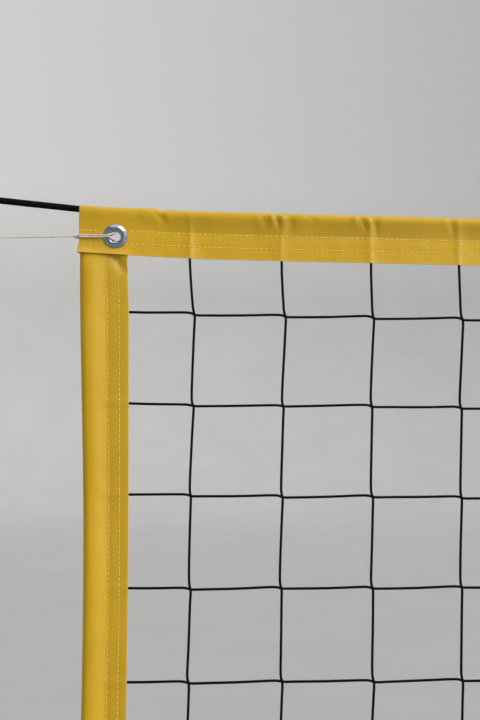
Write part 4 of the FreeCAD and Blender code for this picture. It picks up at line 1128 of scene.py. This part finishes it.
def build_welds():
    """Weld beads where the base sleeves and their ribs meet the plates and each other."""
    bundle = Bundle()
    for side in (-1, 1):
        for quarter in range(4):
            start = math.radians(45 + 90 * quarter)
            turn = np.linspace(start + WELD_GAP, start + TURN / 4 - WELD_GAP, 60)
            x, y = side * POST_X + WELD_RING * np.cos(turn), WELD_RING * np.sin(turn)
            path = np.stack([x, y, PLATE_TOP + 0 * turn], 1)
            tube(bundle, path, 2.3 + 0.22 * np.abs(np.sin(np.linspace(0, 34 * math.pi, 60))), 8)
            for face in (-1, 1):
                out = np.array([math.cos(start), math.sin(start)])
                across = np.array([-out[1], out[0]]) * face * 3.9
                span, rise = np.linspace(52, 148, 60), np.linspace(16, 118, 60)
                for reach, offset, height, radius, run in (
                    (span, 1.0, 10.8 + 0 * span, 1.9, span),
                    (45.8 + 0 * rise, 1.1, rise, 1.7, rise),
                ):
                    x, y = (out[k] * reach + across[k] * offset for k in (0, 1))
                    path = np.stack([side * POST_X + x, y, height], 1)
                    tube(bundle, path, radius + 0.2 * np.abs(np.sin(run * 0.9)), 8)
    bundle.make("weld_beads", GRAPHITE, "posts", "base_gussets")


# ---- CAD nodes that keep their shape ----
# Every other node is zinc plated.
NODE_LOOKS = (
    (GRAPHITE, "left_base_plate right_base_plate left_base_sleeve right_base_sleeve base_gussets"),
    (GRAPHITE, "left_lower_bracket right_lower_bracket left_head_cheeks right_head_cheeks winch_frame"),
    (TUBE, "left_lower_tube right_lower_tube left_upper_tube right_upper_tube"),
    (ALUMINIUM, "left_clamp_ring right_clamp_ring head_caps rope_ferrule"),
    (NYLON, "guide_collars slide_bushes sheave"),
    (GRIP, "left_clamp_lever right_clamp_lever crank_grip"),
    (STEEL, "winch_drum drum_shaft crank_shaft rope_thimble"),
)


def dress_nodes():
    looks = {name: material for material, names in NODE_LOOKS for name in names.split()}
    for name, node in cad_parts.items():
        if not node.hide_render:
            node.data.materials.clear()
            node.data.materials.append(looks.get(name, ZINC))


# ---- Stage, lights and camera ----
def build_stage():
    """A pale floor that curves up into a wall far beyond every camera."""
    look = Look("studio_floor", Roughness=0.9, Specular_IOR_Level=0.1)
    height = look.node("ShaderNodeSeparateXYZ")
    look.link(look.coordinates.outputs["Object"], height.inputs["Vector"])
    floor = look.blend(look.patches(0.6, 3), (0.425, 0.425, 0.43), (0.445, 0.445, 0.445))
    look.colour(look.blend(look.spread(height.outputs["Z"], 0, 1, 9.0, 14.0), floor, (0.60, 0.60, 0.60)))
    flat, bend, wall, sides = 34.0, 14.0, 30.0, 96
    profile = [(r, 0.0) for r in (0.01, 3, 8, 16, 24, 30, flat)]
    for k in range(1, 25):
        a = k / 24 * math.pi / 2
        profile.append((flat + bend * math.sin(a), bend * (1 - math.cos(a))))
    profile.append((flat + bend, bend + wall))
    turns = [TURN * k / sides for k in range(sides)]
    points = [(r * math.cos(a), r * math.sin(a), z) for r, z in profile for a in turns]
    faces = grid_faces(len(profile), sides, True).tolist()
    studio = smooth_mesh("studio", points, faces + [list(range(sides))], look.material)
    studio.location.z = -0.0005
    studio.visible_shadow = False


WHITE = (1.0, 1.0, 1.0)
# Soft lights of one direction each, the same all along the net: the way it comes from, strength, spread in
# degrees and colour. The softboxes are one tall light, which shows only as a reflection.
SUNS = {
    "key": ((0.80, -0.60, 0.48), 2.45, 38, (1.0, 0.98, 0.95)),
    "top": ((0.15, -0.30, 1.0), 1.0, 60, WHITE),
    "fill": ((-0.6, -0.9, 0.35), 0.12, 60, (0.95, 0.97, 1.0)),
    "back": ((0.3, 1.0, 0.6), 0.45, 50, (0.97, 0.98, 1.0)),
    "softbox_low": ((0.70, -0.70, 0.05), 1.1, 34, WHITE),
    "softbox_middle": ((0.68, -0.62, 0.36), 1.0, 34, WHITE),
    "softbox_high": ((0.45, -0.54, 0.71), 1.1, 34, WHITE),
}


def build_lights():
    world = bpy.data.worlds.new("studio_air")
    bpy.context.scene.world = world
    world.use_nodes = True
    air = world.node_tree.nodes["Background"]
    air.inputs["Color"].default_value = (0.94, 0.97, 1.0, 1)
    air.inputs["Strength"].default_value = 0.30
    for name, (way, strength, spread, colour) in SUNS.items():
        data = bpy.data.lights.new(name, "SUN")
        data.energy = strength
        data.angle = math.radians(spread)
        data.color = colour
        lamp = placed(name, data)
        lamp.rotation_euler = Vector(way).to_track_quat("Z", "Y").to_euler()
        lamp.visible_diffuse = not name.startswith("softbox")


# Metres, and degrees of yaw, pitch and roll.
CAMERA_PLACE = (-4.1741, -1.2142, 2.1643)
CAMERA_TURN = (4.4, 4.95, 0.486)


def build_camera():
    """The view of the net's top left corner."""
    yaw, pitch, roll = (math.radians(a) for a in CAMERA_TURN)
    ahead = Vector((math.sin(yaw) * math.cos(pitch), math.cos(yaw) * math.cos(pitch), math.sin(pitch)))
    level = Vector((math.cos(yaw), -math.sin(yaw), 0))
    above = level.cross(ahead)
    right = math.cos(roll) * level + math.sin(roll) * above
    up = -math.sin(roll) * level + math.cos(roll) * above
    data = bpy.data.cameras.new("camera")
    data.lens = 57.0
    data.sensor_width = 36.0
    data.clip_start = 0.05
    data.clip_end = 300.0
    camera = placed("camera", data)
    turned = Matrix((right, up, -ahead)).transposed().to_4x4()
    camera.matrix_world = Matrix.Translation(CAMERA_PLACE) @ turned
    bpy.context.scene.camera = camera


def main():
    bands = build_bands()
    build_netting()
    build_ropes()
    build_foot_rope()
    build_eyelets()
    build_ties()
    build_rods()
    build_welds()
    dress_nodes()
    for cloth, threads, length, core in bands:
        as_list(threads)
    build_stage()
    build_lights()
    build_camera()


main()

bpy.context.scene.view_settings.view_transform = "Standard"
bpy.context.view_layer.update()
